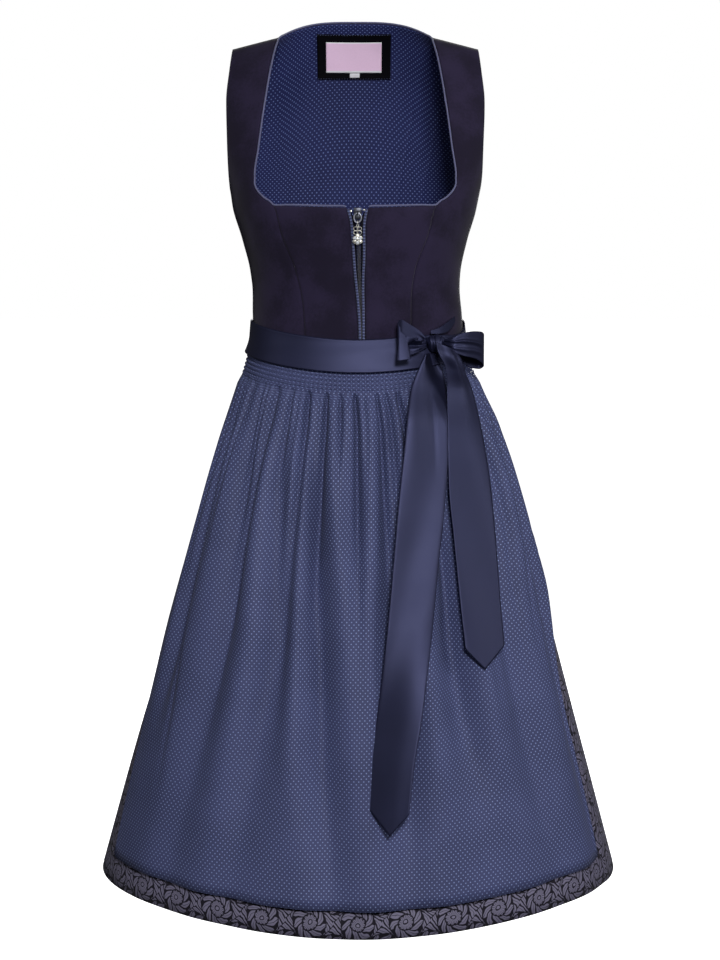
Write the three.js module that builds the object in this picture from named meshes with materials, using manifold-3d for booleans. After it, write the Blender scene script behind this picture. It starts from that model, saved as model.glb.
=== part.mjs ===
// A sleeveless dirndl dress with its tied apron, standing open as it does when it is worn.
// Millimetres, +Z up. The wearer faces -Y, so +X is the wearer's left.
// The origin is midway between the shoulders, level with the inner top of the shoulder straps.
import * as THREE from "three";
import { mergeVertices } from "three/addons/utils/BufferGeometryUtils.js";
import Module from "manifold-3d";

const wasm = await Module();
wasm.setup();

// ---- Driving dimensions ----
const HEM_DROP = 1011; // shoulder to skirt hem at the centre front
const HEM_RISE = 25; // how much higher the skirt hem lies at the sides and back
const WAIST_SIDE_DROP = 347; // shoulder to waist seam at the side
const WAIST_FRONT_DIP = 20; // how much lower the waist seam lies at the centre front
const APRON_HEM_SHARE = 0.951; // how far down the skirt the apron reaches
const SEAM_GAP = 0.15; // each piece stands this far back from a seam
const BODICE_CLOTH = 1.8;
const LINING_CLOTH = 0.9;
const SKIRT_CLOTH = 1.2;
const APRON_CLOTH = 1.1;
const APRON_STAND = 5.2; // how far the apron stands off the skirt in front, below the gathers
const APRON_SIDE_STAND = 2.6;
const UNDER_APRON = 0.45; // how much of the apron's folds the skirt under it follows
const SATIN = 1.2;
const PIPING_RADIUS = 1.0; // round the neck
const ZIP_PIPING_RADIUS = 1.5;
const SASH_WIDTH = 38;
const SHOULDER_INNER = 91; // centre line to the inner edge of a strap, at the shoulder seam
const UNDERARM = 176; // drop of the underarm, where the side seam starts
const NECK_HEIGHT = 23.4; // centre of the back neck edge above the straps
const NAPE_RISE = 42; // how much the form rises from the straps to the nape
const WAIST_LEVEL = 360; // the name of the waist seam's own level in the bodice panels
const APRON_GATHERS = 36;
const BACK_GATHERS = 26;

// ---- Tables ----
// Reads a table: one object for each row, with the named columns.
function table(columns, rows) {
  const names = columns.split(" ");
  return rows.map((row) => Object.fromEntries(names.map((name, i) => [name, row[i]])));
}

// The dress's smooth form: half width, depth to the front and to the back, how square the
// section is, and its shift sideways, at each drop below the shoulder.
const FORM = table("drop half front back square shift", [
  [0, 158, 0, 0, 0.08, -3],
  [2, 159, 11, 12, 0.08, -3],
  [8, 160, 23, 26, 0.08, -3],
  [20, 161, 37, 41, 0.08, -3],
  [40, 162, 53, 56, 0.08, -3],
  [70, 163, 71, 70, 0.08, -3],
  [110, 161, 92, 81, 0.08, -3],
  [150, 152.5, 108, 87, 0.08, -3],
  [176, 147, 114, 88.5, 0.08, -3],
  [200, 143, 115.5, 88, 0.08, -3.5],
  [235, 132.5, 111, 85, 0.08, -3.5],
  [270, 124.4, 104, 81.5, 0.07, -3],
  [293, 122.8, 99, 80, 0.06, -1.8],
  [320, 124, 95.5, 81, 0.06, -0.5],
  [347, 124.5, 95, 83, 0.06, 0],
  [370, 129, 98, 87, 0.05, 0],
  [406, 140, 104, 96, 0.04, 1],
  [454, 158, 117, 110, 0.04, 4],
  [550, 187, 138, 133, 0.04, 4.5],
  [696, 229, 168, 167, 0.04, 3.5],
  [843, 271, 198.5, 201, 0.04, 1],
  [1011, 317, 233, 237, 0.04, 0],
]);

// Inner edge of the side front: round the neckline, then down the princess seam.
const FRONT_SEAM = table("drop x", [
  [0, SHOULDER_INNER],
  [27, 97.5],
  [86, 107],
  [133, 113],
  [158, 116.5],
  [170, 116.5],
  [178, 113.5],
  [187, 105.5],
  [196, 93],
  [229, 84],
  [269, 69],
  [302, 63],
  [332, 61.5],
  [370, 60.5],
]);

const ARMHOLE = table("drop x", [
  [0, 144],
  [24, 147],
  [60, 150.5],
  [116, 149],
  [150, 148],
  [176, 147],
]);

// Back princess seam, from the waist out to the armhole.
const BACK_SEAM = table("drop x", [
  [0, 144],
  [24, 147],
  [60, 150.5],
  [116, 149],
  [120, 137],
  [128, 118],
  [140, 96],
  [160, 74],
  [190, 56],
  [240, 43],
  [300, 38],
  [370, 36],
]);

// The front zip opening: its centre line and the distance from there to the piping.
const ZIP = table("drop centre gap", [
  [199, 3, 10.7],
  [218, 3.6, 7.1],
  [257, 4.6, 5.7],
  [291, 4.2, 3.6],
  [347, 4.5, 2.1],
  [370, 4.5, 2.1],
]);

// The largest folds of the skirt and apron. A fold's place is the sine of its angle round the
// side, at the waist, halfway and at the hem; it runs from one share of the fall to another.
const FRONT_FOLDS = table("waist middle hem from to width depth", [
  [-0.92, -0.9, -0.86, 0.04, 0.75, 13, 4],
  [-0.75, -0.66, -0.69, 0.04, 1.1, 15, 5],
  [-0.57, -0.4, -0.46, 0.03, 1.2, 14, 5],
  [-0.35, -0.21, -0.07, 0.03, 1.1, 12, 7],
  [-0.07, -0.01, 0.02, 0.04, 0.45, 12, 4],
  [0.14, 0.17, 0.2, 0.04, 1.1, 13, 6],
  [0.32, 0.25, 0.2, 0.03, 0.35, 8, 5],
  [0.58, 0.42, 0.52, 0.04, 0.85, 13, 6],
  [0.82, 0.7, 0.72, 0.05, 1.2, 15, 5],
  [0.95, 0.94, 0.9, 0.1, 1.2, 14, 5],
]);
const BACK_FOLDS = table("waist middle hem from to width depth", [
  [-0.9, -0.88, -0.86, 0.05, 1.2, 15, 7],
  [-0.72, -0.66, -0.68, 0.03, 1.2, 14, 9],
  [-0.5, -0.44, -0.42, 0.03, 1.2, 15, 8],
  [-0.28, -0.25, -0.2, 0.03, 1.2, 14, 10],
  [-0.08, -0.02, 0.03, 0.03, 0.7, 12, 7],
  [0.14, 0.16, 0.2, 0.03, 1.2, 15, 9],
  [0.36, 0.4, 0.38, 0.03, 1.2, 14, 8],
  [0.6, 0.58, 0.6, 0.04, 0.9, 14, 9],
  [0.8, 0.78, 0.8, 0.04, 1.2, 15, 7],
]);

// Where the apron's two side edges lie, in degrees round from the centre front.
const APRON_EDGES = table("drop right left", [
  [347, 99, 99],
  [560, 97, 93],
  [640, 94, 80],
  [780, 88, 71],
  [860, 75, 69],
  [1011, 67, 65],
]);

// ---- Curves through the tables ----
// A smooth curve through one column of a table, read against another, that never overshoots.
function curve(rows, along, column) {
  const xs = rows.map((row) => row[along]);
  const ys = rows.map((row) => row[column]);
  const slopes = xs.slice(1).map((x, i) => (ys[i + 1] - ys[i]) / (x - xs[i]));
  const tangents = xs.map((_, i) => {
    if (i === 0) return slopes[0];
    if (i === xs.length - 1) return slopes[i - 1];
    const [before, after] = [slopes[i - 1], slopes[i]];
    return before * after <= 0 ? 0 : (2 * before * after) / (before + after);
  });
  return (x) => {
    const last = xs.length - 2;
    let i = 0;
    while (i < last && x > xs[i + 1]) i += 1;
    const width = xs[i + 1] - xs[i];
    const t = THREE.MathUtils.clamp((x - xs[i]) / width, 0, 1);
    const smooth = t * t * (3 - 2 * t);
    const rise = t * (1 - t) * (1 - t) * tangents[i] - t * t * (1 - t) * tangents[i + 1];
    return ys[i] + (ys[i + 1] - ys[i]) * smooth + width * rise;
  };
}

const { lerp, clamp, smoothstep, degToRad } = THREE.MathUtils;
const halfAt = curve(FORM, "drop", "half");
const frontAt = curve(FORM, "drop", "front");
const backAt = curve(FORM, "drop", "back");
const squareAt = curve(FORM, "drop", "square");
const shiftAt = curve(FORM, "drop", "shift");
const frontSeamX = curve(FRONT_SEAM, "drop", "x");
const armholeX = curve(ARMHOLE, "drop", "x");
const backSeamX = curve(BACK_SEAM, "drop", "x");
const zipCentre = curve(ZIP, "drop", "centre");
const zipGap = curve(ZIP, "drop", "gap");
const apronRight = curve(APRON_EDGES, "drop", "right");
const apronLeft = curve(APRON_EDGES, "drop", "left");

// ---- The dress's form ----
// How far the shoulder slope, and at the back the rise to the nape, lift a point.
function lift(x, atBack) {
  const slope = 3 - 0.27 * (Math.hypot(x, 40) - 93);
  const nape = NAPE_RISE * Math.max(0, 1 - Math.abs(x / SHOULDER_INNER) ** 3) ** 1.2;
  return slope + (atBack ? nape : 0);
}
const hold = (drop) => 1 - smoothstep(drop, 60, 200);

// The level direction out of the form at an angle: 0 faces front, positive turns to the left.
function outward(angle, drop) {
  const depth = Math.cos(angle) > 0 ? frontAt(drop) : backAt(drop);
  return new THREE.Vector3(Math.sin(angle) / halfAt(drop), -Math.cos(angle) / depth, 0).normalize();
}

// A point on the form, moved out by a distance.
function form(angle, drop, out = 0) {
  // Just above the shoulder seam the form goes on over the shoulder.
  if (drop < 0) return form(Math.sign(angle) * Math.PI - angle, -drop, out);
  const atBack = Math.cos(angle) < 0;
  const depth = atBack ? backAt(drop) : frontAt(drop);
  const square = 1 + squareAt(drop) * Math.sin(2 * angle) ** 2;
  const x = halfAt(drop) * Math.sin(angle) * square;
  const y = -depth * Math.cos(angle) * square;
  const point = new THREE.Vector3(x + shiftAt(drop), y, lift(x, atBack) * hold(drop) - drop);
  return out ? point.addScaledVector(outward(angle, drop), out) : point;
}

// The angle at which the form reaches a distance x from its centre line.
function angleAt(x, drop, atBack = false) {
  const half = halfAt(drop);
  const square = squareAt(drop);
  let low = 0;
  let high = Math.PI / 2;
  for (let i = 0; i < 40; i += 1) {
    const middle = (low + high) / 2;
    const reach = half * Math.sin(middle) * (1 + square * Math.sin(2 * middle) ** 2);
    if (reach < Math.abs(x)) low = middle;
    else high = middle;
  }
  return Math.sign(x) * (atBack ? Math.PI - low : low);
}

const waistDrop = (angle) => WAIST_SIDE_DROP + WAIST_FRONT_DIP * Math.max(0, Math.cos(angle)) ** 2;

// The bodice panels are laid out by level, which is the drop except that its lowest part bends
// to follow the waist seam.
function levelDrop(level, angle) {
  return level + (waistDrop(angle) - SEAM_GAP - WAIST_LEVEL) * clamp((level - 300) / 60, 0, 1);
}

// The drop at which the back lies at a height z.
function backDropAt(x, z) {
  let low = 0;
  let high = 200;
  for (let i = 0; i < 40; i += 1) {
    const middle = (low + high) / 2;
    if (lift(x, true) * hold(middle) - middle > z) low = middle;
    else high = middle;
  }
  return low;
}

// The back neck edge: an arch from one strap over the nape to the other.
function backNeckDrop(x) {
  const share = Math.abs(x) / SHOULDER_INNER;
  if (share >= 1) return 0;
  const strapHeight = lift(SHOULDER_INNER, true);
  return backDropAt(x, NECK_HEIGHT - (NECK_HEIGHT - strapHeight) * share ** 3.2);
}

// ---- Walls ----
// Puts a closed surface's faces outwards.
function facingOut(points, faces) {
  const [a, b, c] = [new THREE.Vector3(), new THREE.Vector3(), new THREE.Vector3()];
  const volume = faces.reduce((sum, [i, j, k]) => {
    a.copy(points[i]);
    b.copy(points[j]);
    c.copy(points[k]);
    return sum + a.dot(b.cross(c)) / 6;
  }, 0);
  return volume < 0 ? faces.map(([i, j, k]) => [i, k, j]) : faces;
}

function geometryOf(points, faces) {
  const geometry = new THREE.BufferGeometry().setFromPoints(points);
  geometry.setIndex(facingOut(points, faces).flat());
  geometry.computeVertexNormals();
  return geometry;
}

// The triangles between two rows of points, where one row may have twice the steps of the other.
function strip(upper, lower, closed) {
  const faces = [];
  const steps = (row) => (closed ? row.length : row.length - 1);
  const get = (row, i) => row[i % row.length];
  const [fine, coarse] = steps(upper) >= steps(lower) ? [upper, lower] : [lower, upper];
  const turned = fine !== upper;
  const add = (i, j, k) => faces.push(turned ? [i, k, j] : [i, j, k]);
  const ratio = steps(fine) / steps(coarse);
  for (let i = 0; i < steps(coarse); i += 1) {
    if (ratio === 1) {
      add(get(fine, i), get(coarse, i), get(coarse, i + 1));
      add(get(fine, i), get(coarse, i + 1), get(fine, i + 1));
    } else {
      add(get(fine, 2 * i), get(coarse, i), get(fine, 2 * i + 1));
      add(get(fine, 2 * i + 1), get(coarse, i), get(coarse, i + 1));
      add(get(fine, 2 * i + 1), get(coarse, i + 1), get(fine, 2 * i + 2));
    }
  }
  return faces;
}

// A wall of cloth. at(u, v) is its outer surface for u from 0 to 1, and rows lists each row's v
// and its number of steps (or its own list of u). It lies inset below that surface, along
// the surface's normal or the direction that inward(u, v) gives.
function wall({ at, rows, thick, inset = 0, inward, closed = false }) {
  const insetAt = typeof inset === "function" ? inset : () => inset;
  const step = 1e-3;
  const normal = (u, v) => {
    const along = at(u + step, v).sub(at(u - step, v));
    const across = at(u, v + step * 20).sub(at(u, v - step * 20));
    return along.cross(across).normalize();
  };
  const points = [];
  const put = (p) => points.push(p) - 1;
  const layers = [[], []];
  let sign = 0;
  for (const { v, steps, list } of rows) {
    const count = list ? list.length : closed ? steps : steps + 1;
    const pair = [[], []];
    for (let i = 0; i < count; i += 1) {
      const u = list ? list[i] : i / steps;
      const p = at(u, v);
      const direction = inward ? inward(u, v) : normal(u, v);
      if (!inward && !sign) sign = Math.sign(direction.dot(new THREE.Vector3(-p.x, -p.y, -1e-3))) || 1;
      if (!inward) direction.multiplyScalar(sign);
      pair[0].push(put(p.clone().addScaledVector(direction, insetAt(v))));
      pair[1].push(put(p.clone().addScaledVector(direction, insetAt(v) + thick)));
    }
    layers[0].push(pair[0]);
    layers[1].push(pair[1]);
  }
  const [outer, inner] = layers;
  const faces = [];
  for (let k = 0; k + 1 < rows.length; k += 1) {
    faces.push(...strip(outer[k], outer[k + 1], closed));
    faces.push(...strip(inner[k], inner[k + 1], closed).map(([i, j, l]) => [i, l, j]));
  }
  const rim = (one, two) => strip(one, two, closed);
  faces.push(...rim(inner[0], outer[0]));
  faces.push(...rim(outer.at(-1), inner.at(-1)));
  if (!closed) {
    const side = (layer, end) => layer.map((row) => row.at(end));
    faces.push(...strip(side(outer, 0), side(inner, 0), false));
    faces.push(...strip(side(inner, -1), side(outer, -1), false));
  }
  return geometryOf(points, faces);
}

const rowsOf = (levels, steps) => levels.map((v) => ({ v, steps }));

// ---- The group ----
const dirndl = new THREE.Group();
dirndl.name = "dirndl";

const PAINT = {
  bodice: { color: 0x221d30, roughness: 0.85, metalness: 0 },
  lining: { color: 0x252b52, roughness: 0.8, metalness: 0 },
  piping: { color: 0x3c3f63, roughness: 0.7, metalness: 0 },
  skirt: { color: 0x55526a, roughness: 0.6, metalness: 0 },
  apron: { color: 0x454b73, roughness: 0.6, metalness: 0 },
  satin: { color: 0x2f3354, roughness: 0.3, metalness: 0 },
  tape: { color: 0x11111c, roughness: 0.8, metalness: 0 },
  silver: { color: 0xb9b6ae, roughness: 0.3, metalness: 1 },
  gunmetal: { color: 0x3d3d48, roughness: 0.35, metalness: 1 },
  stone: { color: 0xe8edf2, roughness: 0.05, metalness: 0 },
  black: { color: 0x06060a, roughness: 0.7, metalness: 0 },
  pink: { color: 0xc9a9c4, roughness: 0.6, metalness: 0 },
  white: { color: 0xe6e6ea, roughness: 0.6, metalness: 0 },
};
const paints = Object.fromEntries(
  Object.entries(PAINT).map(([name, values]) => [name, new THREE.MeshStandardMaterial(values)]),
);

function addPiece(name, geometry, paint) {
  const mesh = new THREE.Mesh(geometry, paints[paint]);
  mesh.name = name;
  dirndl.add(mesh);
  return mesh;
}

const SIDES = [
  { word: "left", sign: 1 },
  { word: "right", sign: -1 },
];

// ---- Bodice ----
const LOW_LEVELS = [360, 332, 304, 276, 248, 222, 196];
const UNDERARM_LEVELS = [176, 166, 156, 146, 136, 128, 122, 118];
const NECK_LEVELS = [191.5, 187, 182.5, 178, 174, 170, 158, 142, 120, 95, 68, 42, 22, 8, 2, 0];

// The angle at which an edge, given by its distance from the centre line, crosses a level.
function edgeAngle(level, xAt) {
  let angle = 0;
  for (let i = 0; i < 6; i += 1) {
    const drop = levelDrop(level, angle);
    angle = angleAt(xAt(drop), drop);
  }
  return angle;
}
const seamEdge = (level, sign, gap) => edgeAngle(level, (drop) => sign * (frontSeamX(drop) + gap));
const zipEdge = (level, sign) =>
  edgeAngle(level, (drop) => zipCentre(drop) + sign * (zipGap(drop) + ZIP_PIPING_RADIUS + 0.3));

for (const { word, sign } of SIDES) {
  // The centre front's top edge dips a little from the princess seam to the zip.
  const dip = (u, level) => 2.5 * (1 - u) * clamp((222 - level) / 26, 0, 1);
  addPiece(
    `bodice_front_${word}`,
    wall({
      at: (u, level) => {
        const angle = lerp(zipEdge(level + dip(0, level), sign), seamEdge(level, sign, -SEAM_GAP), u);
        return form(angle, levelDrop(level, angle) + dip(u, level));
      },
      rows: rowsOf(LOW_LEVELS, 6),
      thick: BODICE_CLOTH,
    }),
    "bodice",
  );

  addPiece(
    `bodice_side_front_${word}`,
    wall({
      at: (u, level) => {
        const side = level >= UNDERARM ? Math.PI / 2 : angleAt(armholeX(level), level);
        const angle = lerp(seamEdge(level, sign, SEAM_GAP), sign * (side - SEAM_GAP / 140), u);
        const point = form(angle, levelDrop(level, angle));
        point.y -= SEAM_GAP * (1 - smoothstep(level, 0, 20));
        return point;
      },
      rows: rowsOf([...LOW_LEVELS, ...NECK_LEVELS], 5),
      thick: BODICE_CLOTH,
    }),
    "bodice",
  );

  addPiece(
    `bodice_side_back_${word}`,
    wall({
      at: (u, level) => {
        const drop = levelDrop(level, Math.PI);
        const inner = angleAt(backSeamX(drop) + SEAM_GAP, drop, true);
        const side = level >= UNDERARM ? Math.PI / 2 : angleAt(armholeX(drop), drop, true);
        const angle = sign * lerp(side + SEAM_GAP / 140, inner, u);
        return form(angle, levelDrop(level, angle));
      },
      rows: rowsOf([...LOW_LEVELS, ...UNDERARM_LEVELS], 6),
      thick: BODICE_CLOTH,
    }),
    "bodice",
  );
}

// The back, from the waist to the shoulder seams and the arch of the neck between them.
const STRAP_SHARE = SHOULDER_INNER / 144;
const BACK_COLUMNS = [0, 0.2, 0.38, 0.51, 0.59, STRAP_SHARE, 0.8, 0.91, 1];
const acrossBack = [
  ...BACK_COLUMNS.slice(1).reverse().map((s) => (1 - s) / 2),
  ...BACK_COLUMNS.map((s) => (1 + s) / 2),
];
const BACK_LEVELS = [...LOW_LEVELS, ...UNDERARM_LEVELS, 112, 90, 62, 38, 20, 8, 2, 0];

function backPoint(u, level) {
  const share = 2 * u - 1;
  const flat = levelDrop(level, Math.PI);
  const x = share * (backSeamX(flat) - SEAM_GAP);
  const neck = backNeckDrop(x) * (1 - smoothstep(level, 0, 150));
  const angle = angleAt(x, flat + neck, true) || Math.PI;
  const point = form(angle, levelDrop(level, angle) + neck);
  point.y += SEAM_GAP * (1 - smoothstep(level, 0, 20));
  return point;
}
addPiece(
  "bodice_back",
  wall({ at: backPoint, rows: BACK_LEVELS.map((v) => ({ v, list: acrossBack })), thick: BODICE_CLOTH }),
  "bodice",
);

// The lining of the back, seen through the neck.
const LINING_LEVELS = [358, 330, 300, 270, 240, 210, 176, 160, 148, 118, 90, 62, 38, 20, 8, 2];
const acrossLining = [0, 0.012, ...acrossBack.slice(1, -1), 0.988, 1];
const LINING_EASE = 1.9; // how far the lining hangs inside the cloth below its neck edge
const liningInset = (level) => BODICE_CLOTH + 0.4 + LINING_EASE * smoothstep(level, 3, 60);
function liningPoint(u, level) {
  const flat = levelDrop(level, Math.PI);
  const reach = level >= UNDERARM ? halfAt(flat) : armholeX(flat);
  const x = (2 * u - 1) * (reach - 0.4);
  const neck = backNeckDrop(x) * (1 - smoothstep(level, 0, 150));
  const angle = angleAt(x, flat + neck, true) || Math.PI;
  return form(angle, levelDrop(level, angle) + neck);
}
addPiece(
  "lining_back",
  wall({
    at: liningPoint,
    rows: LINING_LEVELS.map((v) => ({ v, list: acrossLining })),
    thick: LINING_CLOTH,
    inset: liningInset,
  }),
  "lining",
);

// ---- Labels on the lining, all plain ----
// A patch on the inside of the back, given by its edges across and by its top and bottom height.
function patch({ name, left, right, top, bottom, inset, thick, paint }) {
  addPiece(
    name,
    wall({
      at: (u, v) => {
        const x = lerp(left, right, u) - shiftAt(0);
        const drop = backDropAt(x, lerp(top, bottom, v));
        return form(angleAt(x, drop, true), drop);
      },
      rows: rowsOf([0, 0.34, 0.67, 1], 6),
      thick,
      inset: liningInset(60) + LINING_CLOTH + inset,
    }),
    paint,
  );
}
// The black patch, the pink label on it and the white tab below the label.
const LABELS = table("left right top bottom inset thick", [
  [-49.5, 40, 10, -42, 1.5, 0.8],
  [-39, 29, 1, -34, 3.0, 0.6],
  [-10, 2, -34.5, -39.5, 3.0, 0.6],
]);
patch({ name: "label_backing", ...LABELS[0], paint: "black" });
patch({ name: "label", ...LABELS[1], paint: "pink" });
patch({ name: "size_tab", ...LABELS[2], paint: "white" });

// ---- Piping ----
// A tube of a few sides along a curve through points.
function cordAlong(points, radius, sides, steps) {
  const outline = new THREE.Shape();
  for (let i = 0; i < sides; i += 1) {
    const turn = (2 * Math.PI * i) / sides;
    const [x, y] = [radius * Math.cos(turn), radius * Math.sin(turn)];
    if (i) outline.lineTo(x, y);
    else outline.moveTo(x, y);
  }
  const path = new THREE.CatmullRomCurve3(points, false, "centripetal");
  return new THREE.ExtrudeGeometry(outline, { steps, extrudePath: path, bevelEnabled: false });
}

// The neck edge from the centre front round the wearer's right, over the nape and back again, as
// pairs of an angle round the form and a drop.
const NECK_DROPS = [
  196, 192, 188, 184, 180, 176, 171, 165, 156, 145, 130, 112, 92, 70, 50, 34, 20, 10, 4,
];

function neckHalf(sign) {
  const half = [];
  for (const x of [17, 30, 45, 60, 75]) {
    const drop = lerp(198.5, 196, x / 93);
    half.push([angleAt(sign * x, drop), drop]);
  }
  for (const drop of NECK_DROPS) {
    half.push([angleAt(sign * frontSeamX(drop), drop), drop]);
  }
  half.push([sign * (angleAt(SHOULDER_INNER, 0.3) + 0.004), 0.3]);
  for (const x of [90.4, 88.5, 85.5, 80, 72, 60, 45, 30, 15]) {
    const drop = Math.max(backNeckDrop(x), 0.4);
    half.push([angleAt(sign * x, drop, true), drop]);
  }
  return half;
}

// Places a cord just outside a cloth's edge, level with the middle of the cloth.
function besideEdge(edge, clear) {
  const points = edge.map(([angle, drop]) => form(angle, drop));
  return edge.map(([angle, drop], i) => {
    const [before, after] = [points[Math.max(i - 1, 0)], points[Math.min(i + 1, edge.length - 1)]];
    const along = after.clone().sub(before).normalize();
    const step = 1e-3;
    const across = form(angle + step, drop).sub(form(angle - step, drop));
    const down = form(angle, drop + 0.3).sub(form(angle, Math.max(0, drop - 0.3)));
    const normal = across.cross(down).normalize().negate();
    const side = along.cross(normal).normalize();
    return points[i].clone().addScaledVector(normal, -BODICE_CLOTH / 2).addScaledVector(side, clear);
  });
}
const nape = [Math.PI, backNeckDrop(0)];
const neckEdge = [...neckHalf(-1), nape, ...neckHalf(1).reverse()];
const neckPath = besideEdge(neckEdge, PIPING_RADIUS + 0.6);
addPiece("neck_piping", cordAlong(neckPath, PIPING_RADIUS, 5, 92), "piping");

for (const { word, sign } of SIDES) {
  const path = [199, 204, 211, 218, 230, 245, 260, 275, 291, 310, 328, 346, 361].map((drop) => {
    const x = zipCentre(drop) + sign * zipGap(drop);
    const angle = angleAt(x, drop);
    return form(angle, drop, -BODICE_CLOTH / 2);
  });
  addPiece(`zip_piping_${word}`, cordAlong(path, ZIP_PIPING_RADIUS, 5, 20), "piping");
}

// ---- Zip ----
const CHAIN_HALF = 2;
const CHAIN_TOP = 212.5;
const ZIP_BOTTOM = 361;
const TAPE_INSET = 3.1;

// A strip that follows the zip's centre line, between two distances from it.
function zipStrip(from, to, top, inset, thick, steps) {
  const levels = [top, 224, 240, 257, 275, 291, 315, 338, ZIP_BOTTOM];
  return wall({
    at: (u, drop) => form(angleAt(zipCentre(drop) + lerp(from(drop), to(drop), u), drop), drop),
    rows: rowsOf(levels, steps),
    thick,
    inset,
  });
}
for (const { word, sign } of SIDES) {
  const nearChain = (drop) => sign * (CHAIN_HALF + 0.3 + 6.2 * (1 - smoothstep(drop, 199, 216)));
  const farEdge = (drop) => sign * (zipGap(drop) + 11);
  addPiece(`zip_tape_${word}`, zipStrip(nearChain, farEdge, 203, TAPE_INSET, 0.8, 2), "tape");
}
addPiece(
  "zip_chain",
  zipStrip(() => -CHAIN_HALF, () => CHAIN_HALF, CHAIN_TOP, TAPE_INSET - 0.1, 1.6, 1),
  "tape",
);

// Joins closed geometries into one solid.
function joined(...geometries) {
  const solids = geometries.map((geometry) => {
    const bare = geometry.clone();
    bare.deleteAttribute("normal");
    bare.deleteAttribute("uv");
    const merged = mergeVertices(bare, 1e-4);
    const mesh = new wasm.Mesh({
      numProp: 3,
      vertProperties: merged.attributes.position.array,
      triVerts: new Uint32Array(merged.index.array),
    });
    return new wasm.Manifold(mesh);
  });
  const whole = solids.reduce((one, two) => one.add(two)).getMesh();
  const geometry = new THREE.BufferGeometry();
  geometry.setAttribute("position", new THREE.BufferAttribute(whole.vertProperties, 3));
  geometry.setIndex(new THREE.BufferAttribute(whole.triVerts, 1));
  geometry.computeVertexNormals();
  return geometry;
}

const SLIDER_TOP = 198.5;
const SLIDER_LENGTH = 13;
const SLIDER_HALF = 4.6;
const SLIDER_THICK = 3.2;
const BRIDGE_EYE = 1.7;
const BRIDGE_WIDTH = 1.8;
const RING_HALF_WIDTH = 4.2;
const RING_HALF_HEIGHT = 5.4;
const WIRE = 0.75;
const EYE_OUTER = 2.5;
const EYE_INNER = 1.6;

const sliderFace = form(angleAt(zipCentre(SLIDER_TOP + 6), SLIDER_TOP + 6), SLIDER_TOP + 6);
const zipX = sliderFace.x;
const sliderFront = sliderFace.y + 0.4;
const bridgeY = sliderFront - 2.0;
const bridgeZ = -(SLIDER_TOP + 6);

// The slider: a plate with a narrow foot, and a bridge over it that holds the ring.
const plate = new THREE.Shape();
plate.moveTo(-SLIDER_HALF, 0);
plate.lineTo(SLIDER_HALF, 0);
plate.lineTo(SLIDER_HALF, -SLIDER_LENGTH * 0.55);
plate.lineTo(SLIDER_HALF * 0.62, -SLIDER_LENGTH);
plate.lineTo(-SLIDER_HALF * 0.62, -SLIDER_LENGTH);
plate.lineTo(-SLIDER_HALF, -SLIDER_LENGTH * 0.55);
plate.closePath();
const plateSolid = new THREE.ExtrudeGeometry(plate, { depth: SLIDER_THICK, bevelEnabled: false });
plateSolid.rotateX(Math.PI / 2);
plateSolid.translate(zipX, sliderFront + SLIDER_THICK, -SLIDER_TOP);

const bridge = new THREE.Shape();
bridge.absarc(0, 0, BRIDGE_EYE + 0.9, 0, 2 * Math.PI, false);
const eye = new THREE.Path();
eye.absarc(0, 0, BRIDGE_EYE, 0, 2 * Math.PI, true);
bridge.holes.push(eye);
const bridgeSolid = new THREE.ExtrudeGeometry(bridge, {
  depth: BRIDGE_WIDTH,
  bevelEnabled: false,
  curveSegments: 8,
});
bridgeSolid.translate(0, 0, -BRIDGE_WIDTH / 2);
bridgeSolid.rotateY(Math.PI / 2);
bridgeSolid.translate(zipX, bridgeY, bridgeZ);
addPiece("zip_slider", joined(plateSolid, bridgeSolid), "gunmetal");

// The oval ring that hangs in the bridge.
const ring = new THREE.TorusGeometry(1, WIRE / RING_HALF_WIDTH, 6, 20);
ring.rotateX(Math.PI / 2);
ring.scale(RING_HALF_WIDTH, RING_HALF_WIDTH, RING_HALF_HEIGHT);
ring.translate(zipX, bridgeY, bridgeZ - RING_HALF_HEIGHT);
addPiece("pull_ring", ring, "gunmetal");

// The charm: an eye round the ring, an openwork head of four petals and a flower for three stones.
const charmTop = bridgeZ - 2 * RING_HALF_HEIGHT;
const HEAD_RADIUS = 6.2;
const FLOWER_RADIUS = 6.3;
const STEM = 3.4; // length of the bar between the eye and the head
const HEAD_WAVE = 0.12; // the head's outline dips this share between its petals
const headNotch = HEAD_RADIUS * (1 - 2 * HEAD_WAVE);
const PETAL_HOLE_REACH = 3;
const PETAL_HOLE_RADIUS = 1.4;
const CHARM_LAP = 0.8; // how far each part of the charm runs into the next
const headZ = charmTop - EYE_OUTER - STEM - headNotch + 2 * CHARM_LAP;
const flowerZ = headZ - headNotch - FLOWER_RADIUS + CHARM_LAP;

function petalled(radius, wave, petals, turn) {
  const shape = new THREE.Shape();
  const count = petals * 6;
  for (let i = 0; i < count; i += 1) {
    const a = (2 * Math.PI * i) / count;
    const reach = radius * (1 - wave + wave * Math.cos(petals * (a - turn)));
    const [x, y] = [reach * Math.cos(a), reach * Math.sin(a)];
    if (i) shape.lineTo(x, y);
    else shape.moveTo(x, y);
  }
  shape.closePath();
  return shape;
}
const head = petalled(HEAD_RADIUS, HEAD_WAVE, 4, Math.PI / 4);
for (const turn of [45, 135, 225, 315]) {
  const hole = new THREE.Path();
  const [x, y] = [PETAL_HOLE_REACH * Math.cos(degToRad(turn)), PETAL_HOLE_REACH * Math.sin(degToRad(turn))];
  hole.absarc(x, y, PETAL_HOLE_RADIUS, 0, 2 * Math.PI, true);
  head.holes.push(hole);
}
const CHARM_THICK = 1.6;
const upright = (geometry, z) => {
  geometry.translate(0, 0, -CHARM_THICK / 2);
  geometry.rotateX(Math.PI / 2);
  geometry.translate(zipX, bridgeY, z);
  return geometry;
};
const flat = { depth: CHARM_THICK, bevelEnabled: false, curveSegments: 4 };
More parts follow.
